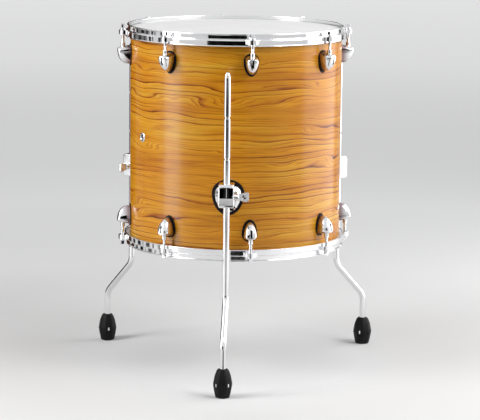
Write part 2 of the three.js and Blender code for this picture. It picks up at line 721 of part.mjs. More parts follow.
function ventGrommetGeometry() {
  const seat = SHELL_RADIUS + SEAT_GAP;
  const nutFace = ventNutFace() - VENT_NUT_THICKNESS;
  const grommet = turnedRing([
    [VENT_BORE_RADIUS, nutFace - VENT_TUBE_OVERHANG],
    [VENT_TUBE_RADIUS, nutFace - VENT_TUBE_OVERHANG],
    [VENT_TUBE_RADIUS, seat],
    [VENT_FLANGE_RADIUS, seat],
    [VENT_FLANGE_RADIUS, seat + VENT_FLANGE_THICKNESS / 2],
    [VENT_FLANGE_RADIUS - VENT_FLANGE_THICKNESS, seat + VENT_FLANGE_THICKNESS],
    [VENT_BORE_RADIUS, seat + VENT_FLANGE_THICKNESS],
  ], LEG_SIDES);
  return grommet.rotateX(Math.PI / 2).translate(0, 0, ventHeight);
}

function ventNutFace() {
  return shellInner - ringSag(shellInner, VENT_FLANGE_RADIUS) - SEAT_GAP;
}

function ventNutGeometry() {
  const face = ventNutFace();
  const inner = VENT_TUBE_RADIUS + RUNNING_GAP;
  const nut = turnedRing([
    [inner, face - VENT_NUT_THICKNESS],
    [VENT_FLANGE_RADIUS, face - VENT_NUT_THICKNESS],
    [VENT_FLANGE_RADIUS, face],
    [inner, face],
  ], LEG_SIDES);
  return nut.rotateX(Math.PI / 2).translate(0, 0, ventHeight);
}

// Materials

function material(color, roughness, metalness) {
  return new THREE.MeshStandardMaterial({ color, roughness, metalness });
}

const wood = material(0xc08332, 0.3, 0);
const chrome = material(0xd9dadc, 0.08, 1);
const steel = material(0xa9abae, 0.35, 1);
const whiteFilm = material(0xe9e9e6, 0.55, 0);
const clearFilm = material(0xd8dcde, 0.2, 0);
const rubber = material(0x141414, 0.5, 0);
const nylon = material(0x1b1b1d, 0.4, 0);

// The whole drum, each piece under its own name

function named(name, geometry, surface) {
  const mesh = new THREE.Mesh(geometry, surface);
  mesh.name = name;
  return mesh;
}

const drum = new THREE.Group();
drum.add(named("shell", shellGeometry(), wood));

// The lower end is the upper end turned over, so its azimuths run the other way
const ends = [
  { end: "top", head: "batter_head", film: whiteFilm, height: upperEdge, flip: 0, sense: 1 },
  { end: "bottom", head: "resonant_head", film: clearFilm, height: lowerEdge, flip: Math.PI, sense: -1 },
];
const head = headGeometry();
const hoop = hoopGeometry();
const lug = lugGeometry();
const tensionRod = tensionRodGeometry();
for (const { end, head: headName, film, height, flip, sense } of ends) {
  const assembly = new THREE.Group();
  assembly.position.z = height;
  assembly.rotation.y = flip;
  assembly.add(named(headName, head, film));
  assembly.add(named(`${end}_hoop`, hoop, chrome));
  for (let i = 0; i < LUG_COUNT; i += 1) {
    const station = new THREE.Group();
    station.rotation.z = sense * radians(i * lugPitch);
    station.add(named(`lug_${end}_${i + 1}`, lug, chrome));
    station.add(named(`tension_rod_${end}_${i + 1}`, tensionRod, chrome));
    assembly.add(station);
  }
  drum.add(assembly);
}

const bush = bushGeometry();
const wingBolt = wingBoltGeometry();
const leg = legGeometry();
const foot = footGeometry();
LEG_NAMES.forEach((name, i) => {
  const azimuth = LEG_AZIMUTHS[i];
  const station = new THREE.Group();
  station.rotation.z = radians(azimuth);
  station.add(named(`bracket_gasket_${name}`, bracketGasketGeometry(azimuth), rubber));
  station.add(named(`leg_bracket_${name}`, bracketGeometry(azimuth), chrome));
  station.add(named(`bracket_backplate_${name}`, backplateGeometry(azimuth), steel));
  station.add(named(`leg_bush_${name}`, bush, nylon));
  station.add(named(`wing_bolt_${name}`, wingBolt, chrome));
  station.add(named(`leg_${name}`, swivelled(leg, LEG_SWIVELS[i]), chrome));
  station.add(named(`foot_${name}`, swivelled(foot, LEG_SWIVELS[i]), rubber));
  drum.add(station);
});

const vent = new THREE.Group();
vent.rotation.z = radians(VENT_AZIMUTH);
vent.add(named("vent_grommet", ventGrommetGeometry(), chrome));
vent.add(named("vent_nut", ventNutGeometry(), steel));
drum.add(vent);

// The origin is the middle of the drum's box on the floor
drum.updateMatrixWorld(true);
const box = new THREE.Box3().setFromObject(drum, true);
const middle = box.getCenter(new THREE.Vector3());
drum.position.set(-middle.x, -middle.y, -box.min.z);

export default drum;
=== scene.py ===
# The looks of the floor tom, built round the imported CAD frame. Lengths are in millimetres
# until a piece is placed, and a station's own frame has X along the shell, Y out of the drum
# and Z up, with heights counted from a bearing edge or from the floor.

import math

import bmesh
import bpy
from mathutils import Matrix, Vector


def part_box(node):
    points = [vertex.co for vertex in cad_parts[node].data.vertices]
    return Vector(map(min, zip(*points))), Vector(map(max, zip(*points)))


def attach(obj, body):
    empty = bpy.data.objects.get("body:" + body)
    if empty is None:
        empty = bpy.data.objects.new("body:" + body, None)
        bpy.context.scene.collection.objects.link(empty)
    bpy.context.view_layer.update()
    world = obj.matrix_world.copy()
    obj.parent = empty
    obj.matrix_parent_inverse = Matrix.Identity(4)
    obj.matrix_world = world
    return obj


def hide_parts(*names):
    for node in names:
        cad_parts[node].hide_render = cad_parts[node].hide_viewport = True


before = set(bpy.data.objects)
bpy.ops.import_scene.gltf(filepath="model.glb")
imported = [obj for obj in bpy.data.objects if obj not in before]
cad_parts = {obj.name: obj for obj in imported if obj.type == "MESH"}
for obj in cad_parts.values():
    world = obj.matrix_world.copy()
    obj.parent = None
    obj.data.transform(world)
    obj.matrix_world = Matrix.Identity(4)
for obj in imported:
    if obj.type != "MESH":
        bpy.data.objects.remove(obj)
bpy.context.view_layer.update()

MM = 0.001
TAU = 2 * math.pi

# Places read from the frame
shell_low, shell_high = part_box("shell")
AXIS = Vector(((shell_low.x + shell_high.x) / 2, (shell_low.y + shell_high.y) / 2, 0))
LOWER_EDGE = shell_low.z / MM
UPPER_EDGE = shell_high.z / MM
SHELL_RADIUS = (shell_high.x - shell_low.x) / 2 / MM

# Sizes repeated from the part's source
SHELL_WALL = 7.5
SHELL_INNER = SHELL_RADIUS - SHELL_WALL
ROD_CIRCLE = SHELL_RADIUS + 15.2
LEG_CIRCLE = SHELL_RADIUS + 43
FOOT_CIRCLE = LEG_CIRCLE + 60.5
LUG_COUNT = 8
LUG_PITCH = 360 / LUG_COUNT
LUG_DROP = 34.9
LUG_LENGTH = 32
LUG_SHOULDER = 7
LUG_HALF = 12.25
PAD_ABOVE, PAD_BELOW, PAD_BESIDE = 6.7, 3.5, 2.3  # how far a lug's pad shows round its casting
LUG_SCREW_DROP = LUG_DROP + (LUG_LENGTH + PAD_BELOW - PAD_ABOVE) / 2
BRACKET_HEIGHT = 361.5
BOLT_DROP, BOLT_REACH = 8, 15  # of the middle of a bracket's bolts, and of each bolt from it
BOLT_HEIGHTS = [BRACKET_HEIGHT - BOLT_DROP - BOLT_REACH, BRACKET_HEIGHT - BOLT_DROP + BOLT_REACH]
VENT_AZIMUTH = -67.5
VENT_HEIGHT = (LOWER_EDGE + UPPER_EDGE) / 2 + 5.5
LEGS = {"front": -11.5, "right": 115.5, "left": -131.5}
SWIVELS = {"front": 0, "right": -10.5, "left": 0}  # how far each leg is turned in its bracket

GAP = 0.3  # between pieces that lie on each other
SEAT = SHELL_RADIUS + GAP  # of what lies on the shell
FINE = 192  # facets round the drum
ENDS = (("top", UPPER_EDGE, False), ("bottom", LOWER_EDGE, True))  # name, bearing edge, upside down


# Mesh helpers


def spun(degrees, axis="Z"):
    return Matrix.Rotation(math.radians(degrees), 4, axis)


def offset(x=0, y=0, z=0):
    return Matrix.Translation((x, y, z))


UPSIDE_DOWN = spun(180, "Y")
OUT_OF_DRUM = Matrix.Scale(-1, 4, (0, 1, 0))  # at azimuth 0 a station's Y is the row frame's -Y


def lathe(profile, sides, closed=False):
    """Turns (radius, height) pairs about Z. A closed profile is a loop off the axis."""
    points, faces, rings = [], [], []
    for radius, height in profile:
        if radius < 1e-6:
            rings.append([len(points)] * sides)
            points.append((0, 0, height))
        else:
            rings.append(list(range(len(points), len(points) + sides)))
            for i in range(sides):
                a = TAU * i / sides
                points.append((radius * math.cos(a), radius * math.sin(a), height))
    pairs = list(zip(rings, rings[1:]))
    if closed:
        pairs.append((rings[-1], rings[0]))
    for low, high in pairs:
        for i in range(sides):
            j = (i + 1) % sides
            face = list(dict.fromkeys((low[i], low[j], high[j], high[i])))
            if len(face) > 2:
                faces.append(face)
    return points, faces


def loft(rings):
    """Skins rings of equal count and closes the ends."""
    count = len(rings[0])
    points = [tuple(p) for ring in rings for p in ring]
    faces = []
    for r in range(len(rings) - 1):
        for i in range(count):
            j = (i + 1) % count
            faces.append([r * count + i, r * count + j, (r + 1) * count + j, (r + 1) * count + i])
    faces.append(list(range(count))[::-1])
    faces.append([(len(rings) - 1) * count + i for i in range(count)])
    return points, faces


def prism(outline, low, high):
    """Extrudes an (x, y) outline along Z."""
    return loft([[(x, y, z) for x, y in outline] for z in (low, high)])


def cuboid(low, high):
    (x0, y0, z0), (x1, y1, z1) = low, high
    return prism([(x0, y0), (x1, y0), (x1, y1), (x0, y1)], z0, z1)


def rounded(profile, radii, steps=5, closed=False):
    """Fillets the corners of a polyline. radii is one number or one for each point."""
    count = len(profile)
    if not hasattr(radii, "__len__"):
        radii = [radii] * count
    out = []
    for i, point in enumerate(profile):
        radius = radii[i]
        if radius <= 0 or (not closed and i in (0, count - 1)):
            out.append(tuple(point))
            continue
        here = Vector(point)
        back = Vector(profile[i - 1]) - here
        ahead = Vector(profile[(i + 1) % count]) - here
        angle = back.angle(ahead)
        if angle > math.pi - 0.02:
            out.append(tuple(point))
            continue
        limit = 0.49 * min(back.length, ahead.length)
        reach = min(radius / math.tan(angle / 2), limit)
        fillet = reach * math.tan(angle / 2)
        back.normalize()
        ahead.normalize()
        middle = here + (back + ahead).normalized() * (fillet / math.sin(angle / 2))
        start = here + back * reach - middle
        end = here + ahead * reach - middle
        sweep = math.atan2(start.x * end.y - start.y * end.x, start.dot(end))
        for k in range(steps + 1):
            a = sweep * k / steps
            c, s = math.cos(a), math.sin(a)
            out.append((middle.x + start.x * c - start.y * s, middle.y + start.x * s + start.y * c))
    return out


def arc(cx, cy, radius, start, end, steps):
    """Points of an arc, with angles in degrees."""
    angles = [math.radians(start + (end - start) * k / steps) for k in range(steps + 1)]
    return [(cx + radius * math.cos(a), cy + radius * math.sin(a)) for a in angles]


def merge(*solids):
    """Several (points, faces) as one."""
    points, faces = [], []
    for solid_points, solid_faces in solids:
        base = len(points)
        points.extend(solid_points)
        faces.extend([[i + base for i in face] for face in solid_faces])
    return points, faces


def moved(solid, matrix):
    points, faces = solid
    return [tuple(matrix @ Vector(p)) for p in points], faces


def shifted(solid, x=0, y=0, z=0):
    return moved(solid, offset(x, y, z))


def laid(solid, axis="Y"):
    """Lays a solid's Z along Y or X."""
    return moved(solid, spun(-90, "X") if axis == "Y" else spun(90, "Y"))


def mesh_of(name, solid, smooth=35):
    """A closed mesh with faces that point out, smooth up to an angle in degrees."""
    points, faces = solid
    mesh = bpy.data.meshes.new(name)
    mesh.from_pydata(points, [], faces)
    bm = bmesh.new()
    bm.from_mesh(mesh)
    bmesh.ops.remove_doubles(bm, verts=bm.verts, dist=1e-5)
    bmesh.ops.recalc_face_normals(bm, faces=bm.faces)
    bm.to_mesh(mesh)
    bm.free()
    finish_mesh(mesh, smooth)
    return mesh


def finish_mesh(mesh, smooth=35):
    mesh.polygons.foreach_set("use_smooth", [True] * len(mesh.polygons))
    mesh.set_sharp_from_angle(angle=math.radians(smooth))
    mesh.update()


def add_object(name, data):
    obj = bpy.data.objects.new(name, data)
    bpy.context.scene.collection.objects.link(obj)
    return obj


def scratch(solid):
    """A loose object for booleans, from a solid or a mesh."""
    mesh = solid.copy() if isinstance(solid, bpy.types.Mesh) else mesh_of("scratch", solid)
    return add_object("scratch", mesh)


def carve(solid, cutters=(), joined=(), bevel=0, smooth=35):
    """The mesh of a solid after unions, cuts and a bevel of its edges."""
    body = scratch(solid)
    tools = []
    for kind, others in (("UNION", joined), ("DIFFERENCE", cutters)):
        for other in others:
            tool = scratch(other)
            tools.append(tool)
            step = body.modifiers.new("cut", "BOOLEAN")
            step.operation, step.object, step.solver = kind, tool, "EXACT"
    if bevel:
        edge = body.modifiers.new("bevel", "BEVEL")
        edge.width, edge.segments, edge.limit_method = bevel, 3, "ANGLE"
        edge.angle_limit = math.radians(30)
        edge.use_clamp_overlap = True
    graph = bpy.context.evaluated_depsgraph_get()
    mesh = bpy.data.meshes.new_from_object(body.evaluated_get(graph), depsgraph=graph)
    for obj in [body, *tools]:
        old = obj.data
        bpy.data.objects.remove(obj)
        bpy.data.meshes.remove(old)
    finish_mesh(mesh, smooth)
    return mesh


def combined(meshes):
    """Several meshes as one mesh, keeping each one's material number."""
    bm = bmesh.new()
    for mesh in meshes:
        bm.from_mesh(mesh)
    out = bpy.data.meshes.new("combined")
    bm.to_mesh(out)
    bm.free()
    finish_mesh(out)
    return out


def whole(height=0, flip=False):
    """The matrix that places a piece turned about the drum's axis, from millimetres to metres."""
    place = Matrix.Translation(AXIS + Vector((0, 0, height * MM))) @ Matrix.Scale(MM, 4)
    return place @ UPSIDE_DOWN if flip else place


def at(azimuth, height=0, flip=False):
    """The matrix that places a station's mesh, its Y turned to point out of the drum."""
    place = whole(height) @ spun(azimuth)
    return (place @ UPSIDE_DOWN if flip else place) @ OUT_OF_DRUM


def put(name, mesh, material, matrix, nodes=(), body="root"):
    """Links a mesh made in a station's frame as a piece of the drum."""
    data = mesh.copy()
    data.name = name
    data.transform(matrix)
    if matrix.determinant() < 0:
        data.flip_normals()
    for one in material if isinstance(material, list) else [material]:
        data.materials.append(one)
    obj = add_object(name, data)
    obj.modifiers.new("flat_faces", "WEIGHTED_NORMAL").keep_sharp = True
    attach(obj, body)
    if nodes:
        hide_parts(*nodes)


def paint(mesh, number, test):
    """Gives a material number to the faces whose middle passes a test."""
    for face in mesh.polygons:
        if test(face.center):
            face.material_index = number


def curved_patch(outline, inner, outer, rings=6, edge=0.5):
    """A pad that follows the drum's curve: an (x, z) outline between two radii."""
    core_share, eased_share = 0.04, 0.3
    cx = sum(x for x, _ in outline) / len(outline)
    cz = sum(z for _, z in outline) / len(outline)

    def ring(share, radius):
        points = []
        for x, z in outline:
            px, pz = cx + (x - cx) * share, cz + (z - cz) * share
            points.append((px, math.sqrt(radius * radius - px * px), pz))
        return points

    half = max(abs(x - cx) for x, _ in outline)
    inset = 1 - edge / half
    steps = [core_share + (inset - core_share) * k / rings for k in range(rings + 1)]
    stack = [ring(share, inner) for share in steps] + [ring(1, inner), ring(1, outer - edge)]
    stack += [ring(1 - edge / half * eased_share, outer - edge * eased_share)]
    stack += [ring(share, outer) for share in reversed(steps)]
    return loft(stack)


def egg(half, rise, fall, height=0, count=64):
    """An egg outline in (x, z), its widest line at a height."""
    points = []
    for i in range(count):
        c, s = math.cos(TAU * i / count), math.sin(TAU * i / count)
        points.append((half * c, height + s * (rise if s > 0 else fall)))
    return points


def slab(outline, inner, outer):
    """Extrudes an (x, z) outline along Y."""
    return loft([[(x, y, z) for x, z in outline] for y in (inner, outer)])


def tray(low, high, radius=0, steps=5):
    """A rectangle's (x, z) outline with round corners."""
    (x0, z0), (x1, z1) = low, high
    return rounded([(x0, z0), (x1, z0), (x1, z1), (x0, z1)], radius, steps, closed=True)


def rod(radius, low, high, sides=32, edge=0):
    """A round bar along Z with broken edges."""
    return lathe([(0, low), (radius - edge, low), (radius, low + edge),
                  (radius, high - edge), (radius - edge, high), (0, high)], sides)


def hexagon(across, low, high, edge=0.6):
    """A hexagon along Z with a turned chamfer on its top."""
    reach = across / math.sqrt(3)
    corners = [(math.cos(TAU * k / 6), math.sin(TAU * k / 6)) for k in range(6)]
    levels = ((reach, low), (reach, high - edge * 0.6), (reach - edge, high))
    return loft([[(x * r, y * r, z) for x, y in corners] for r, z in levels])


def threaded(radius, low, high, pitch=1.3, depth=0.28, sides=16, rows=4):
    """A rod along Z with a helical thread and a tapered tip."""
    tip_share, tip_reach = 0.7, 0.8
    count = int((high - low) / pitch * rows)
    rings = []
    for k in range(count + 1):
        z = low + (high - low) * k / count
        ring = []
        for i in range(sides):
            r = radius - depth * abs(2 * (((z - low) / pitch - i / sides) % 1) - 1)
            ring.append((r * math.cos(TAU * i / sides), r * math.sin(TAU * i / sides), z))
        rings.append(ring)
    return loft([[(x * tip_share, y * tip_share, low - tip_reach) for x, y, _ in rings[0]], *rings])


# Materials


def surface(name, color, roughness, **sockets):
    """A Principled material with plain values."""
    material = bpy.data.materials.new(name)
    material.use_nodes = True
    shader = material.node_tree.nodes["Principled BSDF"]
    shader.inputs["Base Color"].default_value = (*color, 1)
    shader.inputs["Roughness"].default_value = roughness
    for socket, value in sockets.items():
        shader.inputs[socket.replace("_", " ")].default_value = value
    return material


def node(material, kind, inputs=None, **settings):
    """Adds a node and returns its outputs. An input is a number, a colour or an output."""
    made = material.node_tree.nodes.new("ShaderNode" + kind)
    for key, value in settings.items():
        setattr(made, key, value)
    for key, value in (inputs or {}).items():
        if isinstance(value, bpy.types.NodeSocket):
            material.node_tree.links.new(value, made.inputs[key])
        else:
            made.inputs[key].default_value = value
    return made.outputs


def connect(material, socket, value):
    shader = material.node_tree.nodes["Principled BSDF"]
    material.node_tree.links.new(value, shader.inputs[socket])


def here(material):
    return node(material, "TexCoord")["Object"]


def vary(material, socket, value, *stops):
    connect(material, socket, ramp(material, value, stops))


def calc(material, operation, a, b=0):
    return node(material, "Math", {0: a, 1: b}, operation=operation)[0]


def noise(material, vector, scale, detail=3, roughness=0.5):
    sizes = {"Vector": vector, "Scale": scale, "Detail": detail, "Roughness": roughness}
    return node(material, "TexNoise", sizes)["Fac"]


def opaque(color):
    return (*color, 1) if isinstance(color, tuple) else color


def ramp(material, value, stops):
    """A colour ramp. stops are (place, colour), a colour being a number or three."""
    made = material.node_tree.nodes.new("ShaderNodeValToRGB")
    band = made.color_ramp
    while len(band.elements) < len(stops):
        band.elements.new(0.5)
    for element, (place, color) in zip(band.elements, stops):
        element.position = place
        element.color = opaque(color if isinstance(color, tuple) else (color, color, color))
    material.node_tree.links.new(value, made.inputs["Fac"])
    return made.outputs["Color"]


def blend_colors(material, factor, a, b, mode="MIX"):
    inputs = {0: factor, 6: opaque(a), 7: opaque(b)}
    return node(material, "Mix", inputs, data_type="RGBA", blend_type=mode)[2]


def bump(material, height, distance, strength=1):
    sizes = {"Height": height, "Distance": distance, "Strength": strength}
    connect(material, "Normal", node(material, "Bump", sizes)["Normal"])


def drum_place(material):
    """The arc length round the drum, the height and the radius, in metres."""
    apart = node(material, "SeparateXYZ", {0: here(material)})
    x = calc(material, "SUBTRACT", apart["X"], AXIS.x)
    y = calc(material, "SUBTRACT", AXIS.y, apart["Y"])
    angle = calc(material, "ARCTAN2", x, y)
    arc = calc(material, "MULTIPLY", angle, SHELL_RADIUS * MM)
    radius = calc(material, "SQRT", calc(material, "ADD", calc(material, "MULTIPLY", x, x),
                                         calc(material, "MULTIPLY", y, y)))
    return arc, apart["Z"], radius


def wood_grain(material, light, dark, spacing, contrast):
    """Grain that runs round the drum: growth lines with peaks, fine lines and pores."""
    arc, height, _ = drum_place(material)
    sheet = node(material, "CombineXYZ", {"X": arc, "Y": 0, "Z": height})[0]

    def field(x, z, detail=2, roughness=0.5, y=0):
        place = node(material, "Mapping", {"Vector": sheet, "Location": (0, y, 0), "Scale": (x, 1, z)})[0]
        return noise(material, place, 1, detail, roughness)

    peaks = ramp(material, field(6, 16, 1.5, 0.4, 4), [(0.48, 0), (0.6, 0.28), (0.78, 1)])
    warped = height
    for wave, reach in ((field(2, 5.5), 0.08), (peaks, 0.02), (field(0.4, 44, 1, 0.5, 9), 0.026),
                        (field(14, 60, 2, 0.5, 2), 0.0045), (field(60, 260, 2, 0.5, 6), 0.0007)):
        warped = calc(material, "ADD", warped, calc(material, "MULTIPLY", wave, reach))

    def lines(step, stops, mask, strength):
        saw = calc(material, "FRACT", calc(material, "DIVIDE", warped, step))
        dip = ramp(material, saw, stops)
        return calc(material, "MULTIPLY", calc(material, "MULTIPLY", dip, mask), strength)

    bold = ramp(material, field(2.4, 30, 3, 0.65, 12), [(0.36, 0.1), (0.48, 0.45), (0.6, 1)])
    faint = ramp(material, field(5, 90, 2, 0.6, 15), [(0.34, 0.1), (0.62, 1)])
    growth = lines(spacing, [(0, 0), (0.03, 0.85), (0.08, 1), (0.13, 0.5), (0.28, 0.2), (0.75, 0)],
                   bold, contrast)
    fine = lines(spacing * 0.31, [(0, 0), (0.12, 1), (0.4, 0.3), (1, 0)], faint, contrast * 0.5)
    amount = calc(material, "MAXIMUM", growth, fine)
    pores = field(22, 1300, 3, 0.6, 1)
    tone = field(3, 36, 5, 0.62, 7)
    middle, pale, warm = (tuple(min(value * gain, 0.9) for value, gain in zip(light, gains))
                          for gains in ((0.77, 0.66, 0.6), (1.1, 1.42, 3.2), (0.6, 0.36, 0.3)))
    color = ramp(material, tone, [(0.34, middle), (0.5, light), (0.68, pale)])
    color = blend_colors(material, ramp(material, amount, [(0, 0), (0.5, 1)]), color, warm)
    color = blend_colors(material, ramp(material, amount, [(0.4, 0), (1, 1)]), color, dark)
    fibre = ramp(material, field(6, 520, 3, 0.6, 21), [(0.32, 0.74), (0.5, 1)])
    streak = ramp(material, pores, [(0.34, 0.74), (0.58, 1)])
    color = blend_colors(material, 0.5, color, fibre, "MULTIPLY")
    color = blend_colors(material, 0.6, color, streak, "MULTIPLY")
    connect(material, "Base Color", color)
    return amount, pores


def lacquered_wood():
    material = surface("lacquered_wood", (0.6, 0.2, 0.012), 0.5,
                       Coat_Weight=0.9, Coat_Roughness=0.22, Coat_IOR=1.5, Specular_IOR_Level=0)
    amount, pores = wood_grain(material, (0.735, 0.318, 0.013), (0.13, 0.03, 0.002), 0.0125, 1)
    bump(material, calc(material, "SUBTRACT", pores, amount), 0.00005)
    return material


def bare_wood():
    """The sealed inside of the shell and its bearing edges."""
    material = surface("bare_wood", (0.6, 0.42, 0.25), 0.5)
    amount, pores = wood_grain(material, (0.66, 0.48, 0.29), (0.38, 0.23, 0.11), 0.023, 0.45)
    bump(material, calc(material, "SUBTRACT", pores, amount), 0.0001)
    return material


def polished(name, color, low, high, scale=60):
    """Metal with a finish that varies a little from place to place."""
    material = surface(name, color, low, Metallic=1)
    place = here(material)
    wear = noise(material, place, scale, 4)
    vary(material, "Roughness", wear, (0.35, low), (0.7, high))
    ripple = noise(material, place, scale * 0.6, 2)
    bump(material, ripple, 0.00005)
    return material


def zinc_steel():
    material = surface("zinc_steel", (0.45, 0.45, 0.46), 0.36, Metallic=1)
    place = here(material)
    bloom = noise(material, place, 140, 5, 0.65)
    dark, pale = (0.36, 0.36, 0.38), (0.55, 0.55, 0.54)
    vary(material, "Base Color", bloom, (0.3, dark), (0.7, pale))
    vary(material, "Roughness", bloom, (0.3, 0.28), (0.7, 0.45))
    bump(material, noise(material, place, 900, 3), 0.00005)
    return material


def moulded(name, color, roughness, grit, scale):
    """Rubber or nylon with a fine moulded texture and a few scuffs."""
    material = surface(name, color, roughness, Specular_IOR_Level=0.16)
    place = here(material)
    scuff = noise(material, place, scale * 0.06, 5, 0.6)
    pale = tuple(value * 1.8 + 0.003 for value in color)
    vary(material, "Base Color", scuff, (0.45, color), (0.78, pale))
    vary(material, "Roughness", scuff, (0.35, roughness - 0.08), (0.7, roughness + 0.12))
    bump(material, noise(material, place, scale, 2), grit)
    return material


def coated_film():
    """White sprayed coating that stops short of the collar, where the film shows."""
    material = surface("coated_film", (0.84, 0.84, 0.83), 0.6)
    _, _, radius = drum_place(material)
    place = here(material)
    spray = noise(material, place, 26, 5, 0.6)
    coating = ramp(material, spray, [(0.3, (0.81, 0.81, 0.8)), (0.7, (0.86, 0.86, 0.855))])
    wobble = calc(material, "MULTIPLY", noise(material, place, 90, 2), 0.0012)
    edge = calc(material, "MULTIPLY", calc(material, "ADD", radius, wobble), 4)  # 0 to 1 in 250 mm
    share = ramp(material, edge, [(0.792, 0), (0.797, 1)])
    connect(material, "Base Color", blend_colors(material, share, coating, (0.52, 0.53, 0.53)))
    vary(material, "Roughness", share, (0, 0.62), (1, 0.3))
    bump(material, noise(material, place, 1500, 3, 0.7), 0.00008)
    return material


def clear_film():
    material = surface("clear_film", (0.94, 0.95, 0.95), 0.06, IOR=1.5, Transmission_Weight=0.96)
    place = here(material)
    haze = noise(material, place, 18, 5, 0.6)
    vary(material, "Roughness", haze, (0.35, 0.03), (0.75, 0.12))
    bump(material, noise(material, place, 7, 2), 0.0002, 0.3)
    return material


WOOD = lacquered_wood()
BARE_WOOD = bare_wood()
CHROME_LOOK = ((0.83, 0.83, 0.84), 0.05, 0.11)  # colour, lowest and highest roughness
CHROME = polished("chrome", *CHROME_LOOK)
ALUMINIUM = polished("aluminium", (0.66, 0.67, 0.68), 0.26, 0.4, 220)
STEEL = zinc_steel()
RUBBER = moulded("rubber", (0.005, 0.005, 0.0052), 0.5, 0.00009, 1400)
NYLON = moulded("nylon", (0.007, 0.007, 0.0075), 0.4, 0.00005, 900)
COATED = coated_film()
CLEAR = clear_film()


# Shell, heads and hoops


def radial_bar(radius, inner, outer, azimuth, height, sides=24):
    """A bar that points out of the drum, in the drum's own frame."""
    bar = moved(laid(rod(radius, inner, outer, sides)), OUT_OF_DRUM)
    return moved(bar, offset(z=height) @ spun(azimuth))


CHAMFER = 2  # outside the bearing edge
LIP = [(0.5, 0.1), (-0.5, 0.25)]  # beside the crest: (out, drop)
VENT_HOLE = 6.8
BOLT_HOLE = 3.8
HOLE_OVERRUN = 6
LACQUER_DEPTH = 0.6  # how far lacquer runs into the holes


def build_shell():
    """The shell, its bearing edges chamfered outside and cut at 45 degrees inside."""
    low, high = LOWER_EDGE, UPPER_EDGE
    crest = SHELL_RADIUS - CHAMFER
    cut = crest - SHELL_INNER
    rows = 44
    steps = [k / rows for k in range(rows + 1)]
    profile = [(crest + out, low + drop) for out, drop in reversed(LIP)]
    profile += [(SHELL_RADIUS, low + CHAMFER + (high - low - 2 * CHAMFER) * share) for share in steps]
    profile += [(crest + out, high - drop) for out, drop in LIP]
    profile += [(SHELL_INNER, high - cut - (high - low - 2 * cut) * share) for share in steps]
    reach = (SHELL_INNER - HOLE_OVERRUN, SHELL_RADIUS + HOLE_OVERRUN)
    holes = [radial_bar(VENT_HOLE, *reach, VENT_AZIMUTH, VENT_HEIGHT)]
    places = [(i * LUG_PITCH, height) for i in range(LUG_COUNT)
              for height in (high - LUG_SCREW_DROP, low + LUG_SCREW_DROP)]
    places += [(azimuth, height) for azimuth in LEGS.values() for height in BOLT_HEIGHTS]
    holes += [radial_bar(BOLT_HOLE, *reach, azimuth, height, 16) for azimuth, height in places]
    mesh = carve(lathe(profile, FINE, closed=True), cutters=[merge(*holes)], smooth=30)
    paint(mesh, 1, lambda p: math.hypot(p.x, p.y) < SHELL_RADIUS - LACQUER_DEPTH)
    put("shell_wall", mesh, [WOOD, BARE_WOOD], whole(), ["shell"])


COLLAR = SHELL_RADIUS + 0.6
FILM_OUTER = SHELL_RADIUS + 1.6
FILM_FOOT, FILM_LOW, FILM_HIGH = -6, 0.3, 0.8
FILM_RINGS = [40, 90, 140, 185]


def film_profile():
    """The film and its collar, out from the axis below and back above."""
    under = [(0, FILM_LOW), *((r, FILM_LOW) for r in FILM_RINGS), (COLLAR, FILM_LOW), (COLLAR, FILM_FOOT)]
    over = [(FILM_OUTER, FILM_FOOT), (FILM_OUTER, FILM_HIGH), *((r, FILM_HIGH) for r in FILM_RINGS[::-1]),
            (0, FILM_HIGH)]
    return rounded(under + over, [0] * 5 + [0.8, 0, 0, 1.6] + [0] * 5, 5)


def flesh_hoop_profile():
    """The flesh hoop's section, with a line round its side and a groove in its top."""
    inner, outer = COLLAR, SHELL_RADIUS + 7
    top, foot = -4.9, -12.9
    return rounded([
        (inner, foot), (outer, foot), (outer, top - 3.2), (outer - 0.7, top - 2.7), (outer, top - 2.2),
        (outer, top), (outer - 1.6, top), (outer - 1.9, top - 1), (outer - 3, top - 1), (outer - 3.3, top),
        (inner, top),
    ], 0.5, 3, closed=True)


def build_heads():
    film = mesh_of("film", lathe(film_profile(), FINE), 50)
    hoop = mesh_of("flesh_hoop", lathe(flesh_hoop_profile(), FINE, closed=True), 50)
    for name, skin, slot, height, flip in (
        ("batter", COATED, "coated_film", UPPER_EDGE, False),
        ("resonant", CLEAR, "clear_film", LOWER_EDGE, True),
    ):
        place = whole(height, flip)
        put(f"{name}_film", film, skin, place, [f"{name}_head"])
        put(f"{name}_flesh_hoop", hoop, ALUMINIUM, place)


HOOP_WALL = 204.2
HOOP_STEEL = 2.3
SKIRT_OUTER = 211.9
HOOP_TOP = 8
STEP_TOP = -2.3
HOOP_FOOT = -14.8
BEAD = 2.2  # how far the rolled top edge stands out
BEAD_ROOT, BEAD_FOOT = 5.6, 6.6
EAR_HALF = 11
EAR_WALL = 2.2
EAR_DEPTH = 8
EAR_TIP = ROD_CIRCLE + 8
EAR_HOLE = 3.4


def hoop_profile():
    """The hoop's section: wall, step and skirt, with heights from the bearing edge."""
    wall = HOOP_WALL + HOOP_STEEL
    skirt = SKIRT_OUTER - HOOP_STEEL
    corners = [
        ((HOOP_WALL, STEP_TOP - HOOP_STEEL), 0.4), ((skirt, STEP_TOP - HOOP_STEEL), 1),
        ((skirt, HOOP_FOOT), 0.5), ((SKIRT_OUTER + 1.2, HOOP_FOOT), 0.6),
        ((SKIRT_OUTER, HOOP_FOOT + 1.6), 0.8), ((SKIRT_OUTER, STEP_TOP), 3),
        ((wall, STEP_TOP), 1.2), ((wall, BEAD_ROOT), 0.8), ((wall + BEAD, BEAD_FOOT), 0.6),
        ((wall + BEAD, HOOP_TOP), 0.7), ((HOOP_WALL, HOOP_TOP), 1.4),
    ]
    return rounded([point for point, _ in corners], [radius for _, radius in corners], 5, closed=True)


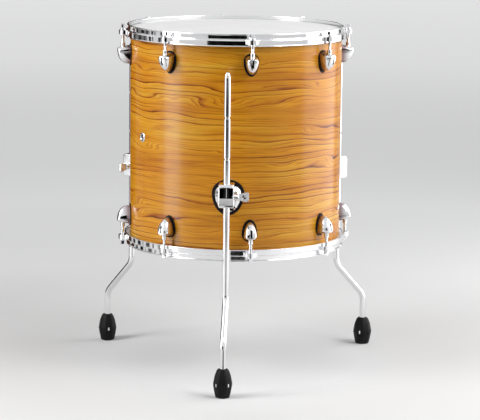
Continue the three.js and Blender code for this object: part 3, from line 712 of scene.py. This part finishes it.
def ear_outline(half, tip, root, flare, steps=14):
    """A round-ended ear in plan, its roots flared or square, from one root to the other."""
    side = [(-half, root)]
    if flare:
        side = [(-half - flare * (1 - math.sin(a)), root + flare * 0.55 * (1 - math.cos(a)))
                for a in [math.pi / 2 * k / 6 for k in range(7)]]
    return side + arc(0, tip - half, half, 180, 0, steps) + [(-x, y) for x, y in reversed(side)]


def ear_solid():
    """An ear and the cutters that hollow it and make its hole."""
    outer = prism(ear_outline(EAR_HALF, EAR_TIP, SKIRT_OUTER - 1.8, 7), STEP_TOP - EAR_DEPTH, STEP_TOP)
    inside = ear_outline(EAR_HALF - EAR_WALL, EAR_TIP - EAR_WALL, SKIRT_OUTER - HOOP_STEEL - 1, 0)
    hollow = prism(inside, HOOP_FOOT - 6, STEP_TOP - HOOP_STEEL)
    hole = shifted(rod(EAR_HOLE, HOOP_FOOT, STEP_TOP + 6, 24), y=ROD_CIRCLE)
    return carve(outer, bevel=1.3), [hollow, hole]


def build_hoops():
    ring = lathe(hoop_profile(), FINE, closed=True)
    ear, cutters = ear_solid()
    ears, holes = [], []
    for i in range(LUG_COUNT):
        turn = spun(i * LUG_PITCH)
        copy = ear.copy()
        copy.transform(turn)
        ears.append(copy)
        holes.extend(moved(cutter, turn) for cutter in cutters)
    mesh = carve(ring, joined=ears, cutters=[merge(*holes)], smooth=40)
    for end, height, flip in ENDS:
        put(f"{end}_hoop_ring", mesh, CHROME, whole(height, flip), [f"{end}_hoop"])


# Lugs and tension rods

LUG_DEPTH = 25.5
LUG_DOME_POWER = 4
LUG_NOSE_POWER = 2.6
LUG_RISE = 4.6  # how much higher the shoulder is at the pad
LUG_BROW = 1.6  # how much lower it is at the nose
PAD_THICK = 1.5
SLOT_HALF = 1.8
SLOT_TOP = 3.4
SLOT_FOOT = 18.5
SLOT_SEAT = 18.5
SLEEVE_TOP = 8.3 - LUG_DROP
LUG_BORE = 3.3
LUG_BORE_FOOT = -14 - LUG_DROP
ROD_RADIUS = 2.9
ROD_LENGTH = 20  # below the sleeve's top
THREAD_TOP = -18
WASHER = 1.5
KEY_HALF = 3.2


def lug_chrome_painted_shade():
    """Chrome whose sides near the pad are painted dark brown: painted shade that stands for the shaded wood
    they reflect.
    """
    material = polished("lug_chrome_painted_shade", *CHROME_LOOK)
    _, _, radius = drum_place(material)
    depth = calc(material, "SUBTRACT", radius, SHELL_RADIUS * MM)
    share = calc(material, "DIVIDE", depth, LUG_DEPTH * MM)
    # painted shade: the base colour turns dark brown towards the shell
    vary(material, "Base Color", share, (0.2, (0.34, 0.24, 0.24)), (0.62, CHROME_LOOK[0]))
    return material


LUG_CHROME_PAINTED_SHADE = lug_chrome_painted_shade()


def lug_casting():
    """The casting with its sleeve, in a station's frame with heights from the bearing edge."""
    rings = []
    levels = 26
    for k in range(levels + 1):
        share = math.sin(math.pi / 2 * k / levels) * 0.998
        narrowing = (1 - share ** LUG_DOME_POWER) ** (1 / LUG_DOME_POWER)
        length = LUG_LENGTH * (1 - share ** LUG_NOSE_POWER) ** (1 / LUG_NOSE_POWER)
        brow = LUG_BROW * share ** 6 - LUG_RISE * (1 - share) ** 1.2
        rise = min(LUG_SHOULDER * narrowing, (length - brow) / 2)
        outline = egg(LUG_HALF * narrowing, rise, length - brow - rise, -LUG_DROP - brow - rise, 56)
        out = SEAT + LUG_DEPTH * share
        rings.append([(x, out if k else math.sqrt(SEAT ** 2 - x * x), z) for x, z in outline])
    sleeve = lathe(rounded([
        (0, -LUG_DROP - 6), (4.7, -LUG_DROP - 6), (4.7, -LUG_DROP + 1.2), (4.2, -LUG_DROP + 2.2),
        (4.2, SLEEVE_TOP - 1.9), (4.7, SLEEVE_TOP - 1.4), (4.7, SLEEVE_TOP), (LUG_BORE, SLEEVE_TOP),
        (LUG_BORE, LUG_BORE_FOOT), (0, LUG_BORE_FOOT),
    ], [0, 0, 0.5, 0.5, 0.3, 0.4, 0.5, 0.3, 0, 0], 3), 28)
    bore = rod(LUG_BORE, LUG_BORE_FOOT, 12 - LUG_DROP, 24)
    low, high = (-SLOT_HALF, -LUG_DROP - SLOT_FOOT), (SLOT_HALF, -LUG_DROP - SLOT_TOP)
    slot = slab(tray(low, high, 1.7), SHELL_RADIUS + SLOT_SEAT, SHELL_RADIUS + 30)
    mesh = carve(loft(rings), joined=[shifted(sleeve, y=ROD_CIRCLE)],
                 cutters=[shifted(bore, y=ROD_CIRCLE), slot], smooth=38)
    paint(mesh, 1, lambda p: (abs(p.x) < SLOT_HALF + 0.01 and p.y > SHELL_RADIUS + SLOT_SEAT - 0.1
                              and low[1] - 0.1 < p.z < high[1] + 0.1))
    return mesh


def lug_gasket():
    outline = egg(LUG_HALF + PAD_BESIDE, LUG_SHOULDER + PAD_ABOVE, LUG_LENGTH - LUG_SHOULDER + PAD_BELOW,
                  -LUG_DROP - LUG_SHOULDER)
    return mesh_of("gasket", curved_patch(outline, SEAT, SEAT + PAD_THICK), 40)


def lug_screw():
    """The screw from inside the shell, with its washer and a cross-shaped recess."""
    seat = SHELL_INNER - 0.45
    head = lathe(rounded([(0, -4), (3.2, -3.9), (5.6, -1.9), (5.6, -0.7), (7, -0.7), (7, 0), (3, 0),
                          (3, 13), (0, 13)], [0, 1.5, 1.2, 0, 0.2, 0.2, 0, 0.4, 0], 4), 32)
    bars = [cuboid((-2.6, -0.5, -5), (2.6, 0.5, -2.2)), cuboid((-0.5, -2.6, -5), (0.5, 2.6, -2.2))]
    mesh = carve(head, cutters=bars)
    mesh.transform(offset(0, seat, -LUG_SCREW_DROP) @ spun(-90, "X"))
    return mesh


def tension_rod():
    """A tension rod: thread, shank, washer, collar and square head."""
    seat = STEP_TOP + GAP
    top = seat + WASHER
    shank = [(0, THREAD_TOP - 1), (2.5, THREAD_TOP - 1), (ROD_RADIUS, THREAD_TOP), (ROD_RADIUS, seat + 0.2),
             (0, seat + 0.2)]
    washer = rounded([(2.95, seat), (6.2, seat), (6.2, top), (2.95, top)], 0.35, 3, closed=True)
    collar = rounded([(0, top - 0.2), (4.9, top - 0.2), (4.9, top + 1.5), (3.4, top + 2.6), (0, top + 2.6)],
                     [0, 0, 0.5, 0.8, 0], 4)
    square = tray((-KEY_HALF, -KEY_HALF), (KEY_HALF, KEY_HALF), 0.6, 3)
    levels = [(top + 1.4, 1), (top + 8.6, 1), (top + 9.3, 0.93), (top + 9.6, 0.78)]
    parts = [lathe(shank, 28), lathe(washer, 36), lathe(collar, 36),
             loft([[(x * share, y * share, z) for x, y in square] for z, share in levels]),
             threaded(ROD_RADIUS, SLEEVE_TOP - ROD_LENGTH + 0.8, THREAD_TOP)]
    return combined([mesh_of("part", shifted(part, y=ROD_CIRCLE)) for part in parts])


def build_lugs():
    casting, gasket, screw, tension = lug_casting(), lug_gasket(), lug_screw(), tension_rod()
    for end, height, flip in ENDS:
        for i in range(LUG_COUNT):
            place = at(i * LUG_PITCH, height, flip)
            tag = f"{end}_{i + 1}"
            put(f"lug_casting_{tag}", casting, [LUG_CHROME_PAINTED_SHADE, NYLON], place, [f"lug_{tag}"])
            put(f"lug_gasket_{tag}", gasket, RUBBER, place)
            put(f"lug_screw_{tag}", screw, STEEL, place)
            body = f"tension_rod_{tag}"
            put(f"key_rod_{tag}", tension, CHROME, place, [body], body)


# Leg brackets

PLATE_SEAT = SHELL_RADIUS + 2.2
BOLT_BORE = 3.4
BLOCK_HALF = 14.5
BLOCK_TOP, BLOCK_FOOT, BLOCK_REACH = 24.5, -20, 56
BLOCK_MIDDLE = (28, 1)  # out and up
POCKET_HALF, POCKET_TOP, POCKET_FOOT = 12.5, 17.5, -10.5
# A lower block beside the leg's rod, painted dark as painted shade under the bracket's block
SHADE_BLOCK_HALF, SHADE_BLOCK_TOP, SHADE_BLOCK_FOOT = 12, -19, -27
BUSH_BORE, BUSH_RIM, BUSH_NECK = 6.4, 9.4, 8.7


def bracket_gasket():
    outline = egg(30, 25.4, 41, BRACKET_HEIGHT, 72)
    pad = curved_patch(outline, SEAT, SHELL_RADIUS + 1.9)
    holes = [shifted(laid(rod(BOLT_HOLE, 190, 215, 16)), z=height) for height in BOLT_HEIGHTS]
    return carve(pad, cutters=holes, smooth=40)


def bracket_plate():
    """The domed plate under the block, from (share of the way to its crown, height)."""
    levels = [(0, -8), (0, 1.2), (0, 2.6), (0.1, 3.4), (0.35, 4.9), (0.62, 6.6), (0.85, 8.3),
              (0.96, 9.2), (1, 9.5)]
    rings = []
    for share, out in levels:
        half, rise, fall = (a + (b - a) * share for a, b in ((24, 18), (18, 13), (35, 27)))
        rings.append([(x, PLATE_SEAT + out, z) for x, z in egg(half, rise, fall, BRACKET_HEIGHT, 72)])
    return loft(rings)


def bracket_block():
    """The block that holds the leg, from its side outline."""
    side = rounded([(0, -30), (30, BLOCK_FOOT), (BLOCK_REACH, BLOCK_FOOT), (BLOCK_REACH, BLOCK_TOP),
                    (26, BLOCK_TOP), (0, 16)], [0, 6, 5, 6.5, 6, 0], 6, closed=True)
    cy, cz = BLOCK_MIDDLE
    rings = []
    for x, inset in ((-BLOCK_HALF, 2), (-BLOCK_HALF + 0.6, 0.9), (-BLOCK_HALF + 2, 0),
                     (BLOCK_HALF - 2, 0), (BLOCK_HALF - 0.6, 0.9), (BLOCK_HALF, 2)):
        rings.append([(x, SHELL_RADIUS + cy + (y - cy) * (1 - inset / 28),
                       BRACKET_HEIGHT + cz + (z - cz) * (1 - inset / 23)) for y, z in side])
    return loft(rings)


def bracket_body():
    """Plate, block and a lower block, with the pocket, window and bores cut and their linings painted dark.
    The lower block is painted dark too, as painted shade beside the rod.
    """
    r, h = SHELL_RADIUS, BRACKET_HEIGHT
    core = lathe([(0, h - 70), (PLATE_SEAT, h - 70), (PLATE_SEAT, h + 70), (0, h + 70)], 256)
    corner = (POCKET_HALF, h + POCKET_TOP)
    pocket = slab(tray((-POCKET_HALF, h + POCKET_FOOT), corner, 2.5), r + 29, r + 53)
    window = slab(tray((-POCKET_HALF, h - 1.5), corner, 2.2), r + 28.6, r + 62)
    bore = shifted(rod(6.6, h - 40, h + 40, 40), y=LEG_CIRCLE)
    wing = shifted(laid(rod(4.4, 0, 20, 24), "X"), y=LEG_CIRCLE, z=h)
    # painted shade: a block below the leg's block whose faces are painted dark to stand for the shade
    # beside the rod
    shade_block = cuboid((-SHADE_BLOCK_HALF, r + 8, h + SHADE_BLOCK_FOOT), (SHADE_BLOCK_HALF, r + 36, h + SHADE_BLOCK_TOP))
    bolts = [shifted(laid(rod(BOLT_BORE, 196, r + 8.4, 16)), z=height) for height in BOLT_HEIGHTS]
    mesh = carve(bracket_plate(), joined=[bracket_block(), shade_block],
                 cutters=[core, pocket, window, bore, wing, *bolts])

    # The faces of the pocket's and window's lining, and of the lower block, which is painted shade
    def lining_and_painted_shade(p):
        out, up = p.y - r, p.z - h
        in_pocket = (abs(p.x) < POCKET_HALF + 0.2 and 28.4 < out < 53.3
                     and POCKET_FOOT - 0.2 < up < POCKET_TOP + 0.2)
        return in_pocket or (abs(p.x) < SHADE_BLOCK_HALF + 0.1 and 12 < out < 36.4
                             and SHADE_BLOCK_FOOT - 0.1 < up < SHADE_BLOCK_TOP - 0.5)

    paint(mesh, 1, lining_and_painted_shade)
    return mesh


def bush():
    """The split bush, with a rim at each end."""
    low, high = BRACKET_HEIGHT - 10.2, BRACKET_HEIGHT + 17.2
    profile = [(BUSH_BORE, low), (BUSH_RIM, low), (BUSH_RIM, low + 3), (BUSH_NECK, low + 3.6),
               (BUSH_NECK, high - 3.6), (BUSH_RIM, high - 3), (BUSH_RIM, high), (BUSH_BORE, high)]
    tube = lathe(rounded(profile, [0.4, 0.6, 0.3, 0.3, 0.3, 0.3, 0.6, 0.4], 3, closed=True), 48)
    mesh = carve(tube, cutters=[cuboid((-1.2, 0, low - 5), (1.2, 20, high + 5))])
    mesh.transform(offset(y=LEG_CIRCLE))
    return mesh


def wing_bolt():
    """A wing bolt along X, its lengths counted from the leg's axis."""
    stem = lathe(rounded([(0, 9.7), (3.4, 9.7), (4, 10.4), (4, 15.2), (6.5, 15.2), (6.5, 17.2), (5.6, 17.8),
                          (5.6, 19.4), (6.5, 20), (6.5, 21.6), (4.6, 23.2), (0, 23.2)],
                         [0, 0.3, 0, 0, 0.5, 0.3, 0.3, 0.3, 0.3, 0.6, 0.8, 0], 3), 40)
    upper = [(18, 4.6), (23.5, 6.2), (38.4, 9.4), (41, 6.6)]
    lower = [(x, -z) for x, z in reversed(upper)]
    shape = rounded(upper + lower, [0, 6, 2.4, 3, 3, 2.4, 6, 0], 6, closed=True)
    rings = []
    for height, inset in ((-2.5, 0.9), (-2.2, 0.3), (-1.6, 0), (1.6, 0), (2.2, 0.3), (2.5, 0.9)):
        rings.append([(30 + (x - 30) * (1 - inset / 11), z * (1 - inset / 8), height) for x, z in shape])
    wing = moved(loft(rings), spun(90, "X"))
    dish = lathe([(0, -1.2), (3.4, -0.7), (4.4, 0.4), (4.4, 2), (0, 2)], 32)
    dishes = [shifted(moved(dish, spun(-90 * side, "X")), x=32.5, y=side * 2.5) for side in (-1, 1)]
    mesh = carve(laid(stem, "X"), joined=[wing], cutters=dishes)
    mesh.transform(offset(0, LEG_CIRCLE, BRACKET_HEIGHT))
    return mesh


def backplate():
    """The plate inside the shell with its two hexagon bolts."""
    outer = SHELL_INNER - GAP
    root = outer - 2.5
    parts = [mesh_of("pad", curved_patch(egg(15, 14, 30, BRACKET_HEIGHT, 56), root, outer, edge=0.4), 40)]
    shank = rod(3, root - 0.5, SHELL_RADIUS + 8, 24, 0.4)
    washer = lathe(rounded([(0, root - 1), (7, root - 1), (7, root + 0.2), (0, root + 0.2)],
                           [0, 0.3, 0, 0], 3), 32)
    head = moved(hexagon(10.4, 1, 5.2), offset(z=root) @ Matrix.Scale(-1, 4, (0, 0, 1)))
    for height in BOLT_HEIGHTS:
        for part in (shank, washer, head):
            parts.append(mesh_of("bolt", shifted(laid(part), z=height)))
    return combined(parts)


# Legs and feet

BEND_RADIUS = 32
BEND_ANGLE = math.radians(42)
KICK = FOOT_CIRCLE - LEG_CIRCLE
LOWER_BEND = 100
LEG_RADIUS = 6
LEG_TOP = 590
GROOVES = (507, 431)
LEG_FOOT = 10.3
FOOT_SLOT = ((-2.1, 20.6), (2.1, 28.6))
FOOT_TURNS = [spun(45 + 90 * k) for k in range(4)]


def leg_ring(out, height, lean=0, radius=LEG_RADIUS, sides=36):
    """A ring round the leg's centre line, which leans outwards."""
    ring = []
    for k in range(sides):
        a = TAU * k / sides
        away = radius * math.cos(a)
        ring.append((radius * math.sin(a), out + away * math.cos(lean), height + away * math.sin(lean)))
    return ring


def leg_rod():
    """The bent rod from its rounded tip, with two grooves and an eye through its top."""
    tangent = BEND_RADIUS * math.tan(BEND_ANGLE / 2)
    upper = LOWER_BEND + KICK / math.tan(BEND_ANGLE)
    tip = rounded([(0.3, LEG_TOP), (2.4, LEG_TOP), (4.8, LEG_TOP - 4), (LEG_RADIUS, LEG_TOP - 10),
                   (LEG_RADIUS, LEG_TOP - 14)], [0, 1.6, 4, 6, 0], 5)
    for height in GROOVES:
        tip += [(LEG_RADIUS, height + 2.4), (5.85, height + 1.8), (4.7, height + 1.3), (4.7, height - 1.3),
                (5.85, height - 1.8), (LEG_RADIUS, height - 2.4)]
    rings = [leg_ring(LEG_CIRCLE, z, radius=r) for r, z in tip]
    steps = 14
    leans = [BEND_ANGLE * k / steps for k in range(steps + 1)]
    for lean in leans:
        rings.append(leg_ring(LEG_CIRCLE + BEND_RADIUS * (1 - math.cos(lean)),
                              upper + tangent - BEND_RADIUS * math.sin(lean), lean))
    for lean in reversed(leans):
        rings.append(leg_ring(FOOT_CIRCLE - BEND_RADIUS * (1 - math.cos(lean)),
                              LOWER_BEND - tangent + BEND_RADIUS * math.sin(lean), lean))
    rings.append(leg_ring(FOOT_CIRCLE, LEG_FOOT + 0.6))
    rings.append(leg_ring(FOOT_CIRCLE, LEG_FOOT, radius=LEG_RADIUS - 0.6))
    eye = shifted(laid(rod(1.3, LEG_CIRCLE - 12, LEG_CIRCLE + 12, 16)), z=LEG_TOP - 7.5)
    return carve(loft(rings), cutters=[eye], smooth=38)


FOOT_PROFILE = [(11, 0), (13.4, 0.9), (14.2, 3), (16.4, 13), (18.25, 24), (18.1, 27.5), (15.5, 41),
                (12, 50), (9.5, 53)]


def foot_ring(radius, height, flats=8, steps=6):
    """An eight-sided ring with eased corners. radius reaches to a corner."""
    ring = []
    count = flats * steps
    half = math.pi / flats
    for k in range(count):
        a = TAU * k / count
        off = (a + half) % (2 * half) - half
        r = min(radius * 0.99, radius * 1.025 * math.cos(half) / math.cos(off))
        ring.append((r * math.sin(a), r * math.cos(a), height))
    return ring


def foot_body():
    """The rubber foot with the leg's bore, a funnel at its top and four slots."""
    rings = [foot_ring(r, z) for r, z in FOOT_PROFILE]
    lip = 8.1 / FOOT_PROFILE[-1][0]
    rings.append([(x * lip, y * lip, z) for x, y, z in foot_ring(FOOT_PROFILE[-1][0], 52.2)])
    bore = rod(LEG_RADIUS + GAP, 10, 60, 40)
    funnel = lathe([(0, 50.5), (6.4, 50.5), (7.8, 54), (0, 54)], 40)
    slots = [moved(slab(tray(*FOOT_SLOT, 1.9, 4), 14.6, 24), turn) for turn in FOOT_TURNS]
    return carve(loft(rings), cutters=[bore, funnel, *slots], smooth=25)


def foot_studs():
    """The bright ends of the ferrule that show in the foot's four slots."""
    middle = (FOOT_SLOT[0][1] + FOOT_SLOT[1][1]) / 2
    outline = tray((-2, 20.7), (2, 28.5), 1.8, 4)
    bar = loft([[(x * s, y, middle + (z - middle) * s) for x, z in outline]
                for y, s in ((13.6, 1), (15.6, 1), (16.3, 0.72))])
    return mesh_of("studs", merge(*(moved(bar, turn) for turn in FOOT_TURNS)), 40)


def build_legs():
    gasket, body, plate = bracket_gasket(), bracket_body(), backplate()
    sleeve, bolt, leg = bush(), wing_bolt(), leg_rod()
    foot, studs = foot_body(), foot_studs()
    for name, azimuth in LEGS.items():
        place = at(azimuth)
        leg_place = place @ offset(y=LEG_CIRCLE) @ spun(-SWIVELS[name]) @ offset(y=-LEG_CIRCLE)
        foot_place = leg_place @ offset(y=FOOT_CIRCLE)
        bush_body, bolt_body, leg_body = f"leg_bush_{name}", f"wing_bolt_{name}", f"leg_{name}"
        put(f"bracket_pad_{name}", gasket, RUBBER, place, [f"bracket_gasket_{name}"])
        put(f"bracket_{name}", body, [CHROME, NYLON], place, [f"leg_bracket_{name}"])
        put(f"backplate_{name}", plate, STEEL, place, [f"bracket_backplate_{name}"])
        put(f"split_bush_{name}", sleeve, NYLON, place, [bush_body], bush_body)
        put(f"wing_{name}", bolt, CHROME, place, [bolt_body], bolt_body)
        put(f"leg_rod_{name}", leg, CHROME, leg_place, [leg_body], leg_body)
        put(f"rubber_foot_{name}", foot, RUBBER, foot_place, [f"foot_{name}"], leg_body)
        put(f"foot_ferrule_{name}", studs, CHROME, foot_place, body=leg_body)


# Air vent


def build_vent():
    nut_face = SHELL_INNER - 0.75
    flange = [(5, nut_face - 4), (6, nut_face - 4), (6, SEAT), (9, SEAT), (9, SEAT + 0.7),
              (7.6, SEAT + 1.6), (5.8, SEAT + 1.6), (5, SEAT + 1)]
    flange = lathe(rounded(flange, [0.2, 0.2, 0, 0.2, 0.5, 0.8, 0.5, 0.5], 4, closed=True), 48)
    grommet = mesh_of("grommet", laid(flange), 40)
    nut = carve(hexagon(17.4, 0, 3), cutters=[rod(6.2, -2, 6, 32)])
    nut.transform(offset(y=nut_face - 3) @ spun(-90, "X"))
    place = at(VENT_AZIMUTH, VENT_HEIGHT)
    put("vent_flange", grommet, CHROME, place, ["vent_grommet"])
    put("vent_hex_nut", nut, STEEL, place, ["vent_nut"])


build_shell()
build_heads()
build_hoops()
build_lugs()
build_legs()
build_vent()


# Camera, studio and lights

CAMERA_STEP = Vector((-0.62757, -4.47285, 1.05295))  # from the foot of the drum's axis
CAMERA_TURN = (80.48997, -0.58174, -8.02168)
CAMERA_LENS = 177.543
FLOOR_PROFILE = [(0, 0), (2, 0), (5, 0), (9, 0), (12, 0.25), (14, 1.1), (15, 2.6)]  # metres
FLOOR_COLOR = (0.76, 0.76, 0.76)
# Share of 16 m from the drum's axis, and how much brighter the paper shows there
FLOOR_GLOW = [(0.006, 0), (0.012, 0.03), (0.016, 0.065), (0.022, 0.04), (0.028, 0.02), (0.05, 0.045),
              (0.065, 0.1), (0.1, 0.18), (0.121, 0.24), (0.168, 0.27), (0.229, 0.32), (0.265, 0.35),
              (0.356, 0.44), (0.556, 0.5)]
WORLD_LIGHT = 0.3
WORLD_SHOWN = 0.9  # for the rays that show the studio itself
BLACK = (0.008, 0.008, 0.008)
GREY = (0.3, 0.3, 0.3)
BROWN = (0.06, 0.022, 0.01)
# Soft boxes: azimuth, distance, height, width, height of the box, watts, height of the aim
LAMPS = {
    "key": (-67, 1.35, 0.92, 0.46, 1.8, 8, 0.9),
    "left_high": (-64, 2.2, 1.75, 1.2, 1.2, 28.3, 0.4),
    "right_high": (58, 2.2, 1.8, 1.2, 1.2, 35, 0.4),
    "edge_high": (90, 2.2, 1.8, 1.2, 1.2, 6, 0.4),
    "side": (103, 1.6, 0.97, 1.7, 1.9, 19.8, 0.9),
}
# Cards that only the chrome and lacquer see: azimuths, (distance, height) pairs and colour
CARDS = {
    "front_card": (-29, 11, [(5.2, 0), (5.2, 1.2)], BLACK),
    "centre_card": (-8, 10, [(1.63, 0.008), (1.95, 0.008)], BLACK),
    "far_centre_card": (-8, 10, [(3, 0.008), (5.2, 0.008)], BLACK),
    "low_card": (-6.5, 11, [(0.42, 0.004), (1.56, 0.008)], BLACK),
    "near_grey_card": (-46, 38, [(1.9, 0.003), (2.1, 0.003)], GREY),
    "far_grey_card": (-46, 38, [(2.95, 0.003), (5.1, 0.003)], GREY),
    "left_grey_card": (-128, -101, [(2.7, 0.01), (2.7, 1.3)], GREY),
    "left_card": (-168, -126, [(1, 0.02), (1, 1.1)], BROWN),
}
# Dark stands round the drum: from, to, distance and height
STANDS = [(-84, -81.5, 2.4, 1.2), (-92, -90.5, 2, 1.3), (-97, -93.5, 1.9, 0.8), (-106, -103.5, 2.2, 1.4),
          (-114, -109, 1.6, 0.9), (-126, -121, 1.5, 1.3), (136, 141, 2, 1.2), (156, 160, 2.4, 1.6),
          (-80, -77.5, 1.25, 0.1), (-88, -86, 1.3, 0.09), (-98, -92, 1.25, 0.1), (-104, -102.5, 1.3, 0.1),
          (-113, -107, 1.25, 0.08), (-124, -119, 1.3, 0.1), (-137, -131, 1.25, 0.1)]


def add_camera():
    data = bpy.data.cameras.new("camera")
    data.lens = CAMERA_LENS
    data.sensor_width = 36
    data.clip_end = 60
    camera = add_object("camera", data)
    camera.location = AXIS + CAMERA_STEP
    camera.rotation_euler = [math.radians(angle) for angle in CAMERA_TURN]
    bpy.context.scene.camera = camera


def shown_ray(material):
    """One for the rays that show the studio itself, straight or in metal and glass."""
    path = node(material, "LightPath")
    seen = calc(material, "MAXIMUM", path["Is Camera Ray"], path["Is Glossy Ray"])
    return calc(material, "MAXIMUM", seen, path["Is Transmission Ray"])


def floor_paint():
    """Pale paper that shows brighter than the lamps leave it: painted light, mostly on the far sweep and
    some near the drum, where it lightens the drum's shadow.
    """
    material = surface("floor", FLOOR_COLOR, 0.8, Specular_IOR_Level=0.2, Emission_Color=(1, 1, 1, 1))
    _, _, away = drum_place(material)
    glow = ramp(material, calc(material, "MULTIPLY", away, 1 / 16), FLOOR_GLOW)
    connect(material, "Emission Strength", calc(material, "MULTIPLY", glow, shown_ray(material)))
    cloud = noise(material, here(material), 0.6, 2)
    dull = tuple(value * 0.985 for value in FLOOR_COLOR)
    vary(material, "Base Color", cloud, (0.3, dull), (0.7, FLOOR_COLOR))
    return material


def toward(azimuth, distance, height=0):
    """A place round the drum. Azimuths are counted from the camera's, positive to the right."""
    turn = math.radians(azimuth) + math.atan2(CAMERA_STEP.x, -CAMERA_STEP.y)
    return AXIS + Vector((math.sin(turn) * distance, -math.cos(turn) * distance, height))


def add_floor():
    """A floor that curves up into a wall all round."""
    points, faces = lathe(FLOOR_PROFILE, 96)
    mesh = bpy.data.meshes.new("floor")
    mesh.from_pydata([(x + AXIS.x, y + AXIS.y, z) for x, y, z in points], [], faces)
    finish_mesh(mesh, 60)
    mesh.materials.append(floor_paint())
    floor = add_object("floor", mesh)


def add_lamp(name, azimuth, distance, height, width, tall, power, aim):
    """A soft box that faces a height on the drum's axis."""
    place = toward(azimuth, distance, height)
    data = bpy.data.lights.new(name, "AREA")
    data.shape, data.size, data.size_y = "RECTANGLE", width, tall
    data.energy = power
    lamp = add_object(name, data)
    lamp.location = place
    target = AXIS + Vector((0, 0, aim))
    lamp.rotation_euler = (target - place).to_track_quat("-Z", "Y").to_euler()


def add_card(name, start, end, path, color, mirrored=True):
    """A dark card between two azimuths, along a line of (distance, height) pairs.

    It is either seen in the chrome and lacquer or only keeps soft light off the drum."""
    steps = 8
    azimuths = [start + (end - start) * k / steps for k in range(steps + 1)]
    points = [tuple(toward(azimuth, out, up)) for out, up in path for azimuth in azimuths]
    row = steps + 1
    faces = [(r * row + k, r * row + k + 1, (r + 1) * row + k + 1, (r + 1) * row + k)
             for r in range(len(path) - 1) for k in range(steps)]
    mesh = bpy.data.meshes.new(name)
    mesh.from_pydata(points, [], faces)
    mesh.materials.append(surface(name, color, 0.9, Specular_IOR_Level=0))
    card = add_object(name, mesh)
    card.visible_camera = False
    card.visible_glossy = mirrored
    card.visible_diffuse = not mirrored
    card.visible_shadow = False


def add_world():
    world = bpy.data.worlds.new("studio")
    world.use_nodes = True
    back = world.node_tree.nodes["Background"]
    back.inputs["Color"].default_value = (0.98, 0.99, 1, 1)
    extra = calc(world, "MULTIPLY", shown_ray(world), WORLD_SHOWN - WORLD_LIGHT)
    world.node_tree.links.new(calc(world, "ADD", extra, WORLD_LIGHT), back.inputs["Strength"])
    bpy.context.scene.world = world


add_camera()
add_world()
add_floor()
for name, lamp in LAMPS.items():
    add_lamp(name, *lamp)
for name, card in CARDS.items():
    add_card(name, *card)
add_card("front_flag", -48, 48, [(1.6, 0.02), (2.4, 0.06), (2.6, 2.4)], BLACK, mirrored=False)
for number, (start, end, distance, tall) in enumerate(STANDS):
    add_card(f"stand_{number}", start, end, [(distance, 0.01), (distance, tall)], BLACK)

bpy.context.scene.view_settings.view_transform = "Standard"
